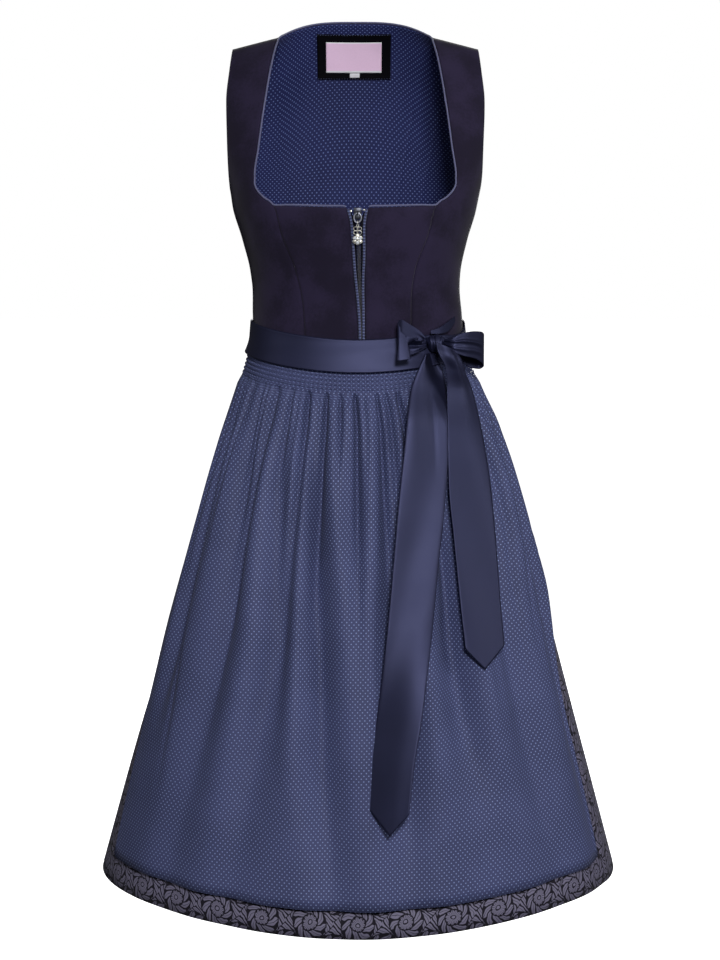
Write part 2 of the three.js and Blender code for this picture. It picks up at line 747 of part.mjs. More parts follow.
const headSolid = upright(new THREE.ExtrudeGeometry(head, flat), headZ);
const flower = petalled(FLOWER_RADIUS, 0.06, 6, Math.PI / 2);
const flowerSolid = upright(new THREE.ExtrudeGeometry(flower, flat), flowerZ);
const eyeShape = new THREE.Shape();
eyeShape.absarc(0, 0, EYE_OUTER, 0, 2 * Math.PI, false);
const eyeHole = new THREE.Path();
eyeHole.absarc(0, 0, EYE_INNER, 0, 2 * Math.PI, true);
eyeShape.holes.push(eyeHole);
const eyeSolid = new THREE.ExtrudeGeometry(eyeShape, { depth: 1.4, bevelEnabled: false, curveSegments: 7 });
eyeSolid.translate(0, 0, -0.7);
eyeSolid.rotateY(Math.PI / 2);
eyeSolid.translate(zipX, bridgeY, charmTop);
const stem = new THREE.BoxGeometry(1.6, 1.4, STEM);
stem.translate(zipX, bridgeY, charmTop - EYE_OUTER + CHARM_LAP - STEM / 2);
addPiece("charm", joined(headSolid, flowerSolid, eyeSolid, stem), "silver");

const STONE_RADIUS = 2.1;
const STONE_REACH = 3.3; // from the middle of the flower
[90, 210, 330].forEach((turn, i) => {
  const stone = new THREE.SphereGeometry(STONE_RADIUS, 8, 5);
  stone.scale(1, 0.7, 1);
  const [x, z] = [STONE_REACH * Math.cos(degToRad(-turn)), STONE_REACH * Math.sin(degToRad(-turn))];
  stone.translate(zipX + x, bridgeY - CHARM_THICK / 2 - 0.3 - 0.7 * STONE_RADIUS, flowerZ + z);
  addPiece(`charm_stone_${i + 1}`, stone, "stone");
});

// ---- Skirt ----
// How a fold dents the cloth: a trough with a softer ridge on each side.
function dent(distance, width) {
  const trough = Math.exp(-((distance / width) ** 2));
  const ridge = Math.exp(-(((Math.abs(distance) - 2.1 * width) / (1.1 * width)) ** 2));
  return 0.45 * ridge - trough;
}

function foldsAt(angle, fall) {
  const facing = Math.cos(angle) > 0;
  const half = lerp(130, 300, fall);
  const own = facing ? angle : Math.sign(angle) * (Math.PI - Math.abs(angle));
  const folds = facing ? FRONT_FOLDS : BACK_FOLDS;
  const sum = folds.reduce((total, fold) => {
    const upper = lerp(fold.waist, fold.middle, fall * 2);
    const lower = lerp(fold.middle, fold.hem, fall * 2 - 1);
    const place = fall < 0.5 ? upper : lower;
    const distance = (own - Math.asin(place)) * half * 0.85;
    const fade = lerp(1, 0.35, smoothstep(fall, 0.4, 1));
    const begun = smoothstep(fall, fold.from, fold.from + 0.14);
    const run = begun * (1 - smoothstep(fall, fold.to - 0.2, fold.to)) * fade;
    return total + fold.depth * run * dent(distance, fold.width * (0.8 + 0.9 * fall));
  }, 0);
  const atSideSeam = 1 - smoothstep(Math.abs(own), 1.3, 1.57);
  return sum * atSideSeam * smoothstep(fall, 0.02, 0.3);
}

// Small gathers: held flat in the shirring under the sash, standing out below it, then fading.
function gathers(angle, fall, count, height) {
  const uneven = angle + 0.035 * Math.sin(5 * angle + 1) + 0.012 * Math.sin(17 * angle);
  const run = lerp(0.4, 1, smoothstep(fall, 0.055, 0.11)) * (1 - smoothstep(fall, 0.12, 0.32));
  return height * (0.5 + 0.5 * Math.cos(count * uneven)) * run;
}

// The drop at a share of the fall from the waist seam to the skirt's hem.
const hemDrop = (angle) => HEM_DROP - HEM_RISE * (1 - Math.max(0, Math.cos(angle)) ** 4);
const dropAtFall = (angle, fall) => lerp(waistDrop(angle) + SEAM_GAP, hemDrop(angle), fall);

// How far the skirt lies outside its smooth form; it is gathered behind the apron.
function skirtOut(angle, fall) {
  const behind = smoothstep(-Math.cos(angle), 0.18, 0.3);
  const share = Math.cos(angle) > 0 ? UNDER_APRON : 1;
  return behind * gathers(angle, fall, BACK_GATHERS * 2, 2.6) + share * foldsAt(angle, fall);
}

const SKIRT_FALLS = [0.2, 0.32, 0.45, 0.6, 0.78, 0.92, 1];
const GATHER_FALLS = [0, 0.055, 0.12];
function skirtHalf(name, centre, fine, coarse) {
  const span = Math.PI / 2;
  const angleOf = (u, fall) => {
    const gap = SEAM_GAP / frontAt(dropAtFall(span, fall));
    return centre + lerp(-span + gap, span - gap, u);
  };
  addPiece(
    name,
    wall({
      at: (u, fall) => {
        const angle = angleOf(u, fall);
        return form(angle, dropAtFall(angle, fall), skirtOut(angle, fall));
      },
      rows: [...rowsOf(GATHER_FALLS, fine), ...rowsOf(SKIRT_FALLS, coarse)],
      thick: SKIRT_CLOTH,
      inward: (u, fall) => outward(angleOf(u, fall), dropAtFall(angleOf(u, fall), fall)).negate(),
    }),
    "skirt",
  );
}
skirtHalf("skirt_front", 0, 48, 48);
skirtHalf("skirt_back", Math.PI, 96, 48);

// ---- Apron ----
// The apron lies over the skirt's own folds, shirred at the waist.
function apronAngle(u, fall) {
  const drop = lerp(WAIST_SIDE_DROP, HEM_DROP, fall);
  // Threads in the middle run straight down; nearer the sides they close up to meet the edge.
  const across = lerp(-99, 99, u);
  const edge = across < 0 ? apronRight(drop) : apronLeft(drop);
  const beyond = Math.max(0, Math.abs(across) - 40) / 59;
  return degToRad(Math.sign(across) * (Math.min(Math.abs(across), 40) + beyond * (edge - 40)));
}
function apronOut(angle, fall) {
  const facing = Math.max(0, Math.cos(angle)) ** 2;
  const ease = lerp(APRON_SIDE_STAND, APRON_STAND, facing);
  const stand = APRON_CLOTH + lerp(0.5, ease, smoothstep(fall, 0.03, 0.2));
  return stand + gathers(angle, fall, APRON_GATHERS * 2, 2.6) + foldsAt(angle, fall);
}
addPiece(
  "apron",
  wall({
    at: (u, fall) => {
      const angle = apronAngle(u, fall);
      return form(angle, dropAtFall(angle, fall), apronOut(angle, fall));
    },
    rows: [
      ...rowsOf(GATHER_FALLS, 132),
      ...rowsOf([...SKIRT_FALLS.slice(0, -2), APRON_HEM_SHARE], 66),
    ],
    thick: APRON_CLOTH,
    inward: (u, fall) => outward(apronAngle(u, fall), dropAtFall(apronAngle(u, fall), fall)).negate(),
  }),
  "apron",
);

// ---- Sash and bow ----
// The sash runs all the way round, close on the bodice at its top and over the gathers below.
const SASH_TOP_OUT = 2.9;
const SASH_BOTTOM_OUT = 6.8;
const sashOut = (v) => lerp(SASH_TOP_OUT, SASH_BOTTOM_OUT, v);
addPiece(
  "sash",
  wall({
    at: (u, v) => {
      const angle = 2 * Math.PI * u;
      return form(angle, waistDrop(angle) + lerp(-SASH_WIDTH / 2, SASH_WIDTH / 2, v), sashOut(v));
    },
    rows: rowsOf([0, 0.5, 1], 48),
    thick: SATIN,
    closed: true,
    inward: (u, v) => outward(2 * Math.PI * u, waistDrop(2 * Math.PI * u) + v).negate(),
  }),
  "satin",
);

// The bow's knot, at the wearer's left front.
const KNOT_SIZE = new THREE.Vector3(9, 8, 10);
const KNOT_DROP = 353;
const KNOT_X = 89;
const knotSeat = form(angleAt(KNOT_X, KNOT_DROP), KNOT_DROP, sashOut(0.5));
const KNOT_Y = knotSeat.y - KNOT_SIZE.y - 2.9;
const knot = new THREE.SphereGeometry(1, 12, 9);
knot.scale(KNOT_SIZE.x, KNOT_SIZE.y, KNOT_SIZE.z);
knot.translate(KNOT_X, KNOT_Y, -KNOT_DROP);
addPiece("bow_knot", knot, "satin");

// A ribbon through a table of places along it: its plan x, its distance in front of the knot's
// middle, and the heights of its two edges.
function ribbon(name, places, thick = SATIN) {
  const share = places.map((place, i) => ({ ...place, at: i / (places.length - 1) }));
  const columns = ["x", "front", "top", "bottom"];
  const [x, front, top, bottom] = columns.map((column) => curve(share, "at", column));
  addPiece(
    name,
    wall({
      at: (u, v) => new THREE.Vector3(x(v), KNOT_Y - front(v), lerp(top(v), bottom(v), u)),
      rows: rowsOf(share.map(({ at }) => at), 4),
      thick,
    }),
    "satin",
  );
}
ribbon(
  "bow_loop_left",
  table("x front top bottom", [
    [98.3, 2, -349, -358],
    [110, 11, -345, -363],
    [122, 6, -340, -367],
    [134, -6, -339, -370],
    [143, -18, -340, -375],
    [146.5, -28, -343, -380],
    [141, -34, -343, -384],
    [130, -28, -342, -382],
    [116, -16, -344, -372],
    [104, -7, -347, -362],
    [98.3, -2, -349, -358],
  ]),
);
ribbon(
  "bow_loop_right",
  table("x front top bottom", [
    [79, 3, -348, -357],
    [68, 16, -350, -362],
    [56, 26, -349, -367],
    [48, 30, -343, -370],
    [45.5, 25, -331, -371],
    [49, 18, -326, -369],
    [58, 11, -330, -364],
    [70, 4, -338, -359],
    [79, -2, -347, -357],
  ]),
);
// The end of the sash that wraps up into the knot.
ribbon(
  "sash_wrap",
  table("x front top bottom", [
    [84, -1.6, -338, -342],
    [94, -7.7, -335, -342],
    [104, -19.7, -329, -340],
    [113, -33.7, -323, -330],
  ]),
);

// A tail of the bow. Its table gives the drop of its upper edge at each place, both edges seen
// from the front and how far it stands off the skirt; slant drops one edge's start and tip is
// the length of its point.
function bowTail({ name, edges, slant, tip, pleat }) {
  const leftAt = curve(edges, "drop", "left");
  const rightAt = curve(edges, "drop", "right");
  const standAt = curve(edges, "drop", "stand");
  const first = edges[0].drop;
  const last = edges.at(-1).drop;
  addPiece(
    name,
    wall({
      at: (u, v) => {
        const level = lerp(first, last, v);
        const x = lerp(leftAt(level), rightAt(level), u);
        const point = tip * smoothstep(v, 0.86, 1) * (1 - Math.abs(2 * u - 1));
        const drop = level + point + slant * u * (1 - smoothstep(v, 0, 0.2));
        const wave = pleat * Math.sin(2 * Math.PI * (u + 0.1)) * (1 - smoothstep(v, 0, 0.35));
        return inFront(x, drop, standAt(level) + wave);
      },
      rows: rowsOf([0, 0.04, 0.09, 0.16, 0.25, 0.36, 0.5, 0.64, 0.78, 0.87, 0.94, 1], 6),
      thick: SATIN,
    }),
    "satin",
  );
}

// The point at a distance x from the centre plane on the form moved out by a distance.
function inFront(x, drop, out) {
  let low = -Math.PI / 2;
  let high = Math.PI / 2;
  for (let i = 0; i < 40; i += 1) {
    const middle = (low + high) / 2;
    if (form(middle, drop, out).x < x) low = middle;
    else high = middle;
  }
  return form(low, drop, out);
}
bowTail({
  name: "bow_tail_long",
  edges: table("drop left right stand", [
    [364, 77, 88, 13],
    [381, 69, 92, 14],
    [405, 60, 93, 13],
    [472, 52, 96, 13],
    [538, 45, 94, 13],
    [595, 40, 90, 12],
    [679, 32, 83, 12],
    [763, 22, 72, 12],
    [816, 15, 63, 12],
    [868, 13, 57, 12],
  ]),
  slant: 0,
  tip: 25,
  pleat: 3,
});
bowTail({
  name: "bow_tail_short",
  edges: table("drop left right stand", [
    [350, 93, 106, 31],
    [362, 96, 116, 34],
    [381, 100, 124, 30],
    [405, 102, 132, 23],
    [444, 102, 141, 18],
    [511, 103, 152, 14],
    [565, 108, 157, 13],
    [648, 116, 163, 12.5],
    [693, 121, 167, 12.5],
  ]),
  slant: 10,
  tip: 24,
  pleat: -3,
});

export default dirndl;
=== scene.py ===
"""Makes the cloth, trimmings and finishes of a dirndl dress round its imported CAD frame."""

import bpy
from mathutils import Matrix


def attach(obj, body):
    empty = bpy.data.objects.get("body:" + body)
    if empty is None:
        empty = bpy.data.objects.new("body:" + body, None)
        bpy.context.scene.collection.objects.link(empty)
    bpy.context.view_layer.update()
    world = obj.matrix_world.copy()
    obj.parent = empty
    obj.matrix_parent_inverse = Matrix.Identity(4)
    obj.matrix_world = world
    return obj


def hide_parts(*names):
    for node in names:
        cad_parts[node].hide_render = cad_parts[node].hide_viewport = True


bl_info = {
    "name": "Dirndl",
    "version": (1, 0, 0),
    "blender": (4, 5, 0),
    "location": "View3D > Sidebar > Dirndl",
    "description": "Makes the cloth, trimmings and finishes of a dirndl dress",
    "category": "Object",
}

import math

import bmesh
import bpy
import numpy as np
from bpy.props import FloatProperty, FloatVectorProperty, IntProperty, PointerProperty
from mathutils import Euler, Matrix, Vector

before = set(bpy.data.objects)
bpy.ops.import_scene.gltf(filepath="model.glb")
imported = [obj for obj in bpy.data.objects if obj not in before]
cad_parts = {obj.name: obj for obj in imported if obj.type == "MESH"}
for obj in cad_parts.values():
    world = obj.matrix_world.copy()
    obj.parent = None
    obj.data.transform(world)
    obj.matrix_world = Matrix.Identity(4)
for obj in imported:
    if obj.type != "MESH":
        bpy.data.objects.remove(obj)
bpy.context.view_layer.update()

MM = 0.001


def colour(red, green, blue):
    """A screen colour, from 0 to 255, as Blender's linear colour."""
    shares = [c / 255 for c in (red, green, blue)]
    return tuple(c / 12.92 if c <= 0.04045 else ((c + 0.055) / 1.055) ** 2.4 for c in shares)


def shade(name, description, red, green, blue):
    return FloatVectorProperty(
        name=name, description=description, subtype="COLOR", size=3, min=0, max=1,
        default=colour(red, green, blue),
    )


def length(name, description, millimetres):
    return FloatProperty(name=name, description=description, unit="LENGTH", default=millimetres * MM)


class DirndlSizes(bpy.types.PropertyGroup):
    bodice_cloth: length("Bodice cloth", "Thickness of the bodice's cloth", 1.7)
    lining_cloth: length("Lining cloth", "Thickness of the lining", 0.8)
    skirt_cloth: length("Skirt cloth", "Thickness of the jacquard", 1.1)
    apron_cloth: length("Apron cloth", "Thickness of the apron's cloth", 1.0)
    satin: length("Satin", "Thickness of the sash's satin", 1.0)
    neck_piping: length("Neck piping", "Radius of the piping round the neck", 1.0)
    zip_piping: length("Zip piping", "Radius of the piping beside the zip", 1.5)
    dot_pitch: length("Dot pitch", "Distance between two pin-dots of a row", 5.6)
    dot_rows: length("Dot rows", "Distance between two rows of pin-dots", 3.1)
    dot_size: length("Dot size", "Radius of a pin-dot", 0.75)
    repeat_width: length("Repeat width", "Width of the jacquard's repeat", 54)
    repeat_height: length("Repeat height", "Height of the jacquard's repeat", 58.6)
    shirring_rows: IntProperty(
        name="Shirring rows", description="Rows of stitching at the apron's top", default=5
    )
    shirring_step: length("Shirring step", "Distance between two rows of shirring", 4.8)
    tooth_pitch: length("Tooth pitch", "Distance between two teeth of the zip's coil", 1.3)
    stitch: length("Stitch", "Length of one stitch", 2.2)


class DirndlColours(bpy.types.PropertyGroup):
    bodice: shade("Bodice", "The bodice's brushed cloth", 36, 30, 52)
    lining: shade("Lining", "Ground of the lining", 33, 38, 82)
    lining_dot: shade("Lining dots", "Pin-dots of the lining", 104, 122, 180)
    apron: shade("Apron", "Ground of the apron", 69, 74, 111)
    apron_dot: shade("Apron dots", "Pin-dots of the apron", 134, 150, 200)
    jacquard_ground: shade("Jacquard ground", "Ground of the skirt", 19, 15, 30)
    jacquard_leaf: shade("Jacquard leaves", "Leaves and flowers of the skirt", 120, 116, 141)
    satin: shade("Satin", "Sash and bow", 14, 15, 33)
    piping: shade("Neck piping", "Piping round the neck", 96, 98, 136)
    zip_piping: shade("Zip piping", "Piping beside the zip", 42, 46, 86)
    thread: shade("Thread", "Sewing thread", 96, 108, 156)
    tape: shade("Tape", "The zip's tape", 16, 16, 26)
    coil: shade("Coil", "The zip's coil", 62, 62, 74)
    steel: shade("Steel", "Slider", 66, 68, 76)
    ring: shade("Ring", "The slider's ring", 150, 152, 164)
    silver: shade("Silver", "Charm", 206, 204, 196)
    # The stones are clear; this near-white colour is painted brightness that stands in for the light they
    # reflect.
    stone: shade("Stone", "The charm's stones", 232, 238, 246)
    label_black: shade("Patch", "Black patch on the lining", 3, 3, 8)
    label_pink: shade("Label", "Plain label", 244, 210, 240)
    label_white: shade("Tab", "Plain white tab and the label's edge", 232, 232, 238)


# ---- Shader maths ----
class Socket:
    """A node's output, with Python's operators for its maths."""

    def __init__(self, finish, output):
        self.finish = finish
        self.output = output

    def maths(self, operation, *others):
        return self.finish.maths(operation, self, *others)

    def __add__(self, other):
        return self.maths("ADD", other)

    def __sub__(self, other):
        return self.maths("SUBTRACT", other)

    def __rsub__(self, other):
        return self.finish.maths("SUBTRACT", other, self)

    def __mul__(self, other):
        return self.maths("MULTIPLY", other)

    def __truediv__(self, other):
        return self.maths("DIVIDE", other)

    def __lt__(self, other):
        return self.maths("LESS_THAN", other)

    def __abs__(self):
        return self.maths("ABSOLUTE")

    __radd__ = __add__
    __rmul__ = __mul__


class Finish:
    """A material in the making: its nodes and the shader that they feed."""

    def __init__(self, name, **constants):
        self.material = bpy.data.materials.new(name)
        self.material.use_nodes = True
        self.nodes = self.material.node_tree.nodes
        self.links = self.material.node_tree.links
        self.nodes.clear()
        self.shader = self.nodes.new("ShaderNodeBsdfPrincipled")
        output = self.nodes.new("ShaderNodeOutputMaterial")
        self.links.new(self.shader.outputs[0], output.inputs[0])
        for socket, value in constants.items():
            self.feed(socket.replace("_", " ").title().replace("Ior", "IOR"), value)

    def feed(self, name, value, node=None):
        """Links a value to a socket, or sets it there."""
        socket = (node or self.shader).inputs[name]
        if isinstance(value, Socket):
            self.links.new(value.output, socket)
        elif socket.type == "RGBA":
            socket.default_value = (*value, 1.0)
        else:
            socket.default_value = value

    def node(self, kind, settings=None, inputs=None, output=0):
        """Adds a node. Its settings are made before its inputs."""
        made = self.nodes.new("ShaderNode" + kind)
        for key, value in (settings or {}).items():
            setattr(made, key, value)
        for key, value in (inputs or {}).items():
            self.feed(key, value, made)
        return Socket(self, made.outputs[output])

    def maths(self, operation, *values):
        return self.node("Math", {"operation": operation}, dict(enumerate(values)))

    def ease(self, value, low, high):
        """0 below low, 1 above high, smooth between them."""
        settings = {"interpolation_type": "SMOOTHSTEP"}
        return self.node("MapRange", settings, {"Value": value, "From Min": low, "From Max": high})

    def mix(self, share, one, other):
        inputs = {0: share, 6: one, 7: other}
        return self.node("Mix", {"data_type": "RGBA"}, inputs, output=2)

    def cut(self):
        """The piece's cloth coordinates, in metres across and along the cut."""
        uv = self.node("UVMap", {"uv_map": "cut"})
        return [self.node("SeparateXYZ", inputs={0: uv}, output=axis) for axis in (0, 1)]

    def noise(self, scale, detail, roughness=0.5):
        """Soft noise from 0 to 1; scale is how many patches go to a metre."""
        place = self.node("TexCoord", output="Object")
        inputs = {"Vector": place, "Scale": scale, "Detail": detail, "Roughness": roughness}
        return self.node("TexNoise", inputs=inputs)

    def done(self, base, roughness, height=None, distance=0.0, strength=0.0):
        """Feeds the shader. Height, from 0 to 1, times a distance in metres raises the surface."""
        self.feed("Base Color", base)
        self.feed("Roughness", roughness)
        if height is not None:
            inputs = {"Height": height, "Distance": distance, "Strength": strength}
            self.feed("Normal", self.node("Bump", inputs=inputs))
        return self.material


# The pitch of the marks on the zip's piping, and the width of the label's border, in metres.
MARK_PITCH = 0.0034
LABEL_BORDER = 0.0011


def lighter(base, share):
    """A colour made brighter by a share, or darker by a negative one."""
    return tuple(min(1, c * (1 + share)) for c in base)


def brushed_cloth(name, base):
    """Brushed cloth with a soft nap, mottled a little."""
    finish = Finish(name, sheen_weight=0.06, sheen_roughness=0.5, specular_ior_level=0.15)
    broad = finish.noise(22, 2)
    nap = finish.noise(320, 4, 0.7)
    grain = finish.noise(1500, 2, 0.6)
    tone = finish.ease(broad * 0.65 + nap * 0.35, 0.38, 0.62)
    ground = finish.mix(tone, lighter(base, -0.3), lighter(base, 0.4))
    brushed = finish.mix(grain * 0.3, ground, lighter(base, -0.5))
    return finish.done(brushed, 0.78 + nap * 0.2, nap * 0.6 + grain * 0.4, 0.0004, 0.35)


def pin_dots(name, base, dot, sizes, roughness):
    """Twill with staggered pin-dots; roughness is that of its ground."""
    finish = Finish(name, sheen_weight=0.03, sheen_roughness=0.4, specular_ior_level=0.14)
    across, along = finish.cut()
    row = along / sizes.dot_rows
    stagger = finish.maths("FRACT", finish.maths("FLOOR", row) * 0.5)
    x = (finish.maths("FRACT", across / sizes.dot_pitch + stagger) - 0.5) * sizes.dot_pitch
    y = (finish.maths("FRACT", row) - 0.5) * sizes.dot_rows
    reach = finish.maths("SQRT", x * x + y * y)
    spot = 1 - finish.ease(reach, sizes.dot_size * 0.7, sizes.dot_size * 1.2)
    broad = finish.noise(14, 2)
    slub = finish.noise(500, 2, 0.6)
    ground = finish.mix(finish.ease(broad, 0.35, 0.65), lighter(base, -0.08), lighter(base, 0.08))
    woven = finish.mix(slub * 0.25, ground, lighter(base, -0.45))
    twill = finish.maths("SINE", (across + along) * 7000)
    height = spot * 0.5 + twill * 0.2 + slub * 0.3
    rough = roughness + slub * 0.15 - spot * 0.1
    return finish.done(finish.mix(spot * 0.9, woven, dot), rough, height, 0.0003, 0.25)


def jacquard(name, ground, leaf, sizes):
    """A generic damask: fan flowers in a staggered lattice, with lobed leaves curling round them."""
    finish = Finish(name, sheen_weight=0.03, specular_ior_level=0.3)
    across, along = finish.cut()
    waver = finish.noise(55, 2) - 0.5
    u = across + waver * 0.008
    v = along + (finish.noise(70, 2) - 0.5) * 0.008
    width, height = sizes.repeat_width, sizes.repeat_height
    near = []
    for offset in (0.5, 0):
        x = (finish.maths("FRACT", u / width + offset) - 0.5) * width * 1000
        y = (finish.maths("FRACT", v / height + offset) - 0.5) * height * 1000
        near.append((x, y, finish.maths("SQRT", x * x + y * y)))
    (x1, y1, r1), (x2, y2, r2) = near
    other = r2 < r1
    own = 1 - other
    turn = 1 - other * 2
    x = (x1 * own + x2 * other) * turn
    y = y1 * own + y2 * other
    r = r1 * own + r2 * other
    angle = finish.maths("ARCTAN2", y, x)
    spiral = finish.maths("LOGARITHM", r / 10 + 0.05, math.e)

    def ring_of_leaves(inner, outer, count, curl, lean):
        """Curved leaves side by side, with rounded tips and a fine line along each."""
        phase = angle * count + spiral * curl + lean
        wave = finish.maths("COSINE", phase)
        leaf = finish.ease(wave, -0.8, -0.5)
        line = 1 - finish.ease(abs(finish.maths("SINE", phase / 2)), 0.06, 0.2)
        tips = 1 - finish.ease(r - wave * 1.7 - outer, -0.3, 0.3)
        return leaf * (1 - line * 0.8) * tips * finish.ease(r, inner, inner + 0.5)

    rim = finish.maths("COSINE", angle * 11) * 0.8
    flower = 1 - finish.ease(r - rim, 7.4, 8.0)
    rays = finish.ease(finish.maths("COSINE", angle * 22), 0.35, 0.75) * finish.ease(r, 3.0, 4.2)
    heart = finish.ease(r, 1.6, 2.1) * (1 - finish.ease(r, 2.8, 3.3))
    fan = flower * (1 - rays * 0.75) * (1 - heart)
    near_leaves = ring_of_leaves(9.4, 17.0, 9, 9.0, 0.0)
    far_leaves = ring_of_leaves(19.4, 40.0, 13, -22.0, 1.0)
    gap = finish.ease(abs(r1 - r2), 0.4, 1.1)
    leaves = finish.maths("MAXIMUM", near_leaves, far_leaves) * gap
    motif = finish.maths("MAXIMUM", leaves, fan)

    slub = finish.noise(700, 2, 0.6)
    ribs = finish.maths("SINE", along * 9000)
    leaf_cloth = finish.mix(slub * 0.5, leaf, lighter(leaf, -0.35))
    ground_cloth = finish.mix(slub * 0.5, ground, lighter(ground, -0.5))
    woven = finish.mix(motif, ground_cloth, leaf_cloth)
    height = motif * 0.7 + ribs * 0.1 + slub * 0.2
    return finish.done(woven, 0.75 - motif * 0.25 + slub * 0.1, height, 0.0004, 0.5)


def satin_cloth(name, base):
    """Satin: a smooth face with fine threads running across it."""
    finish = Finish(name, specular_ior_level=0.9, specular_tint=(0.47, 0.51, 1.0))
    _, along = finish.cut()
    cloudy = finish.noise(28, 2)
    streak = finish.maths("SINE", along * 6000 + finish.noise(90, 2) * 4)
    slub = finish.noise(900, 2, 0.6)
    woven = finish.mix(finish.ease(cloudy, 0.3, 0.7), lighter(base, -0.16), lighter(base, 0.16))
    height = streak * 0.3 + slub * 0.5 + cloudy
    return finish.done(woven, 0.48 + cloudy * 0.08 + slub * 0.04, height, 0.0004, 0.12)


def twisted_cloth(name, base):
    """Cloth cut on the bias round a cord, with its diagonal threads."""
    finish = Finish(name, sheen_weight=0.2)
    across, along = finish.cut()
    threads = finish.maths("SINE", (along * 2 + across) * 2600)
    wear = finish.noise(240, 3)
    twist = finish.ease(threads + wear, -0.5, 1.6)
    cloth = finish.mix(twist, lighter(base, -0.4), lighter(base, 0.25))
    return finish.done(cloth, 0.6 + wear * 0.2, threads, 0.0002, 0.5)


def dotted_bias(name, base, dot):
    """The piping beside the zip, with a row of light stitches on it."""
    finish = Finish(name, sheen_weight=0.2)
    _, along = finish.cut()
    beat = finish.maths("SINE", along * (2 * math.pi / MARK_PITCH))
    mark = finish.ease(beat, 0.1, 0.7)
    wear = finish.noise(300, 3)
    cloth = finish.mix(wear, lighter(base, -0.25), lighter(base, 0.2))
    marked = finish.mix(mark * 0.4, cloth, dot)
    return finish.done(marked, 0.6 + wear * 0.2, mark * 0.6 + wear * 0.4, 0.0003, 0.5)


def ribbed_tape(name, base, ribs, edge=None, size=None):
    """A close woven tape or label; edge is the colour of its border, size its width and height."""
    finish = Finish(name, specular_ior_level=0.08)
    across, along = finish.cut()
    rib = finish.maths("SINE", along * ribs)
    slub = finish.noise(600, 2, 0.6)
    woven = finish.mix(slub * 0.35 + (rib * 0.5 + 0.5) * 0.2, lighter(base, 0.02), lighter(base, -0.25))
    if edge:
        from_side = size[0] / 2 - abs(across)
        from_top = size[1] / 2 - abs(along - size[1] / 2)
        inside = finish.maths("MINIMUM", from_side, from_top)
        border = 1 - finish.ease(inside, LABEL_BORDER * 0.8, LABEL_BORDER * 1.2)
        woven = finish.mix(border, woven, edge)
    return finish.done(woven, 0.65 + slub * 0.2, rib * 0.4 + slub * 0.6, 0.0002, 0.4)


def thread(name, base):
    """Twisted thread, darker between its plies."""
    finish = Finish(name, sheen_weight=0.3)
    ply = finish.noise(1600, 2, 0.6)
    spun = finish.mix(ply, lighter(base, -0.3), lighter(base, 0.1))
    return finish.done(spun, 0.55 + ply * 0.2, ply, 0.0001, 0.5)


def metal(name, base, roughness, age):
    """Metal that is darker in its hollows and finely scratched."""
    finish = Finish(name, metallic=0.8)
    tarnish = finish.noise(380, 3)
    scratch = finish.noise(2400, 2, 0.7)
    aged = finish.mix(finish.ease(tarnish, 0.4, 0.7) * age, base, lighter(base, -0.6))
    return finish.done(aged, roughness + scratch * 0.15, scratch, 0.00005, 0.3)


def cut_stone(name, base):
    """A clear stone with a faint cloud in it. Its near-white base is painted brightness: it stands in for
    the light that the clear stone reflects and sparkles with.
    """
    finish = Finish(name, specular_ior_level=0.9, coat_roughness=0.03, ior=1.6)
    cloud = finish.noise(700, 2)
    finish.feed("Metallic", cloud * 0.2)
    return finish.done(finish.mix(cloud, lighter(base, -0.45), base), 0.08 + cloud * 0.08)


# ---- Tables and curves ----
def table(columns, rows):
    """A table with named columns, each an array."""
    return dict(zip(columns.split(), np.array(rows, float).T))


# The dress's smooth form, in millimetres: half width, depth to the front and to the back, how
# square the section is, and its shift sideways, at each drop below the shoulder.
FORM = table("drop half front back square shift", [
    [0, 158, 0, 0, 0.08, -3],
    [2, 159, 11, 12, 0.08, -3],
    [8, 160, 23, 26, 0.08, -3],
    [20, 161, 37, 41, 0.08, -3],
    [40, 162, 53, 56, 0.08, -3],
    [70, 163, 71, 70, 0.08, -3],
    [110, 161, 92, 81, 0.08, -3],
    [150, 152.5, 108, 87, 0.08, -3],
    [176, 147, 114, 88.5, 0.08, -3],
    [200, 143, 115.5, 88, 0.08, -3.5],
    [235, 132.5, 111, 85, 0.08, -3.5],
    [270, 124.4, 104, 81.5, 0.07, -3],
    [293, 122.8, 99, 80, 0.06, -1.8],
    [320, 124, 95.5, 81, 0.06, -0.5],
    [347, 124.5, 95, 83, 0.06, 0],
    [370, 129, 98, 87, 0.05, 0],
    [406, 140, 104, 96, 0.04, 1],
    [454, 158, 117, 110, 0.04, 4],
    [550, 187, 138, 133, 0.04, 4.5],
    [696, 229, 168, 167, 0.04, 3.5],
    [843, 271, 198.5, 201, 0.04, 1],
    [1011, 317, 233, 237, 0.04, 0],
])
FRONT_SEAM = table("drop x", [
    [0, 91], [27, 97.5], [86, 107], [133, 113], [158, 116.5], [170, 116.5], [178, 113.5],
    [187, 105.5], [196, 93], [229, 84], [269, 69], [302, 63], [332, 61.5], [370, 60.5],
])
ARMHOLE = table("drop x", [[0, 144], [24, 147], [60, 150.5], [116, 149], [150, 148], [176, 147]])
BACK_SEAM = table("drop x", [
    [0, 144], [24, 147], [60, 150.5], [116, 149], [120, 137], [128, 118], [140, 96], [160, 74],
    [190, 56], [240, 43], [300, 38], [370, 36],
])
ZIP = table("drop centre gap", [
    [199, 3, 10.7], [218, 3.6, 7.1], [257, 4.6, 5.7], [291, 4.2, 3.6], [347, 4.5, 2.1], [370, 4.5, 2.1],
])
APRON_EDGES = table("drop right left", [
    [347, 99, 99], [560, 97, 93], [640, 93, 80], [780, 76, 71], [860, 72, 69], [1011, 67, 65],
])
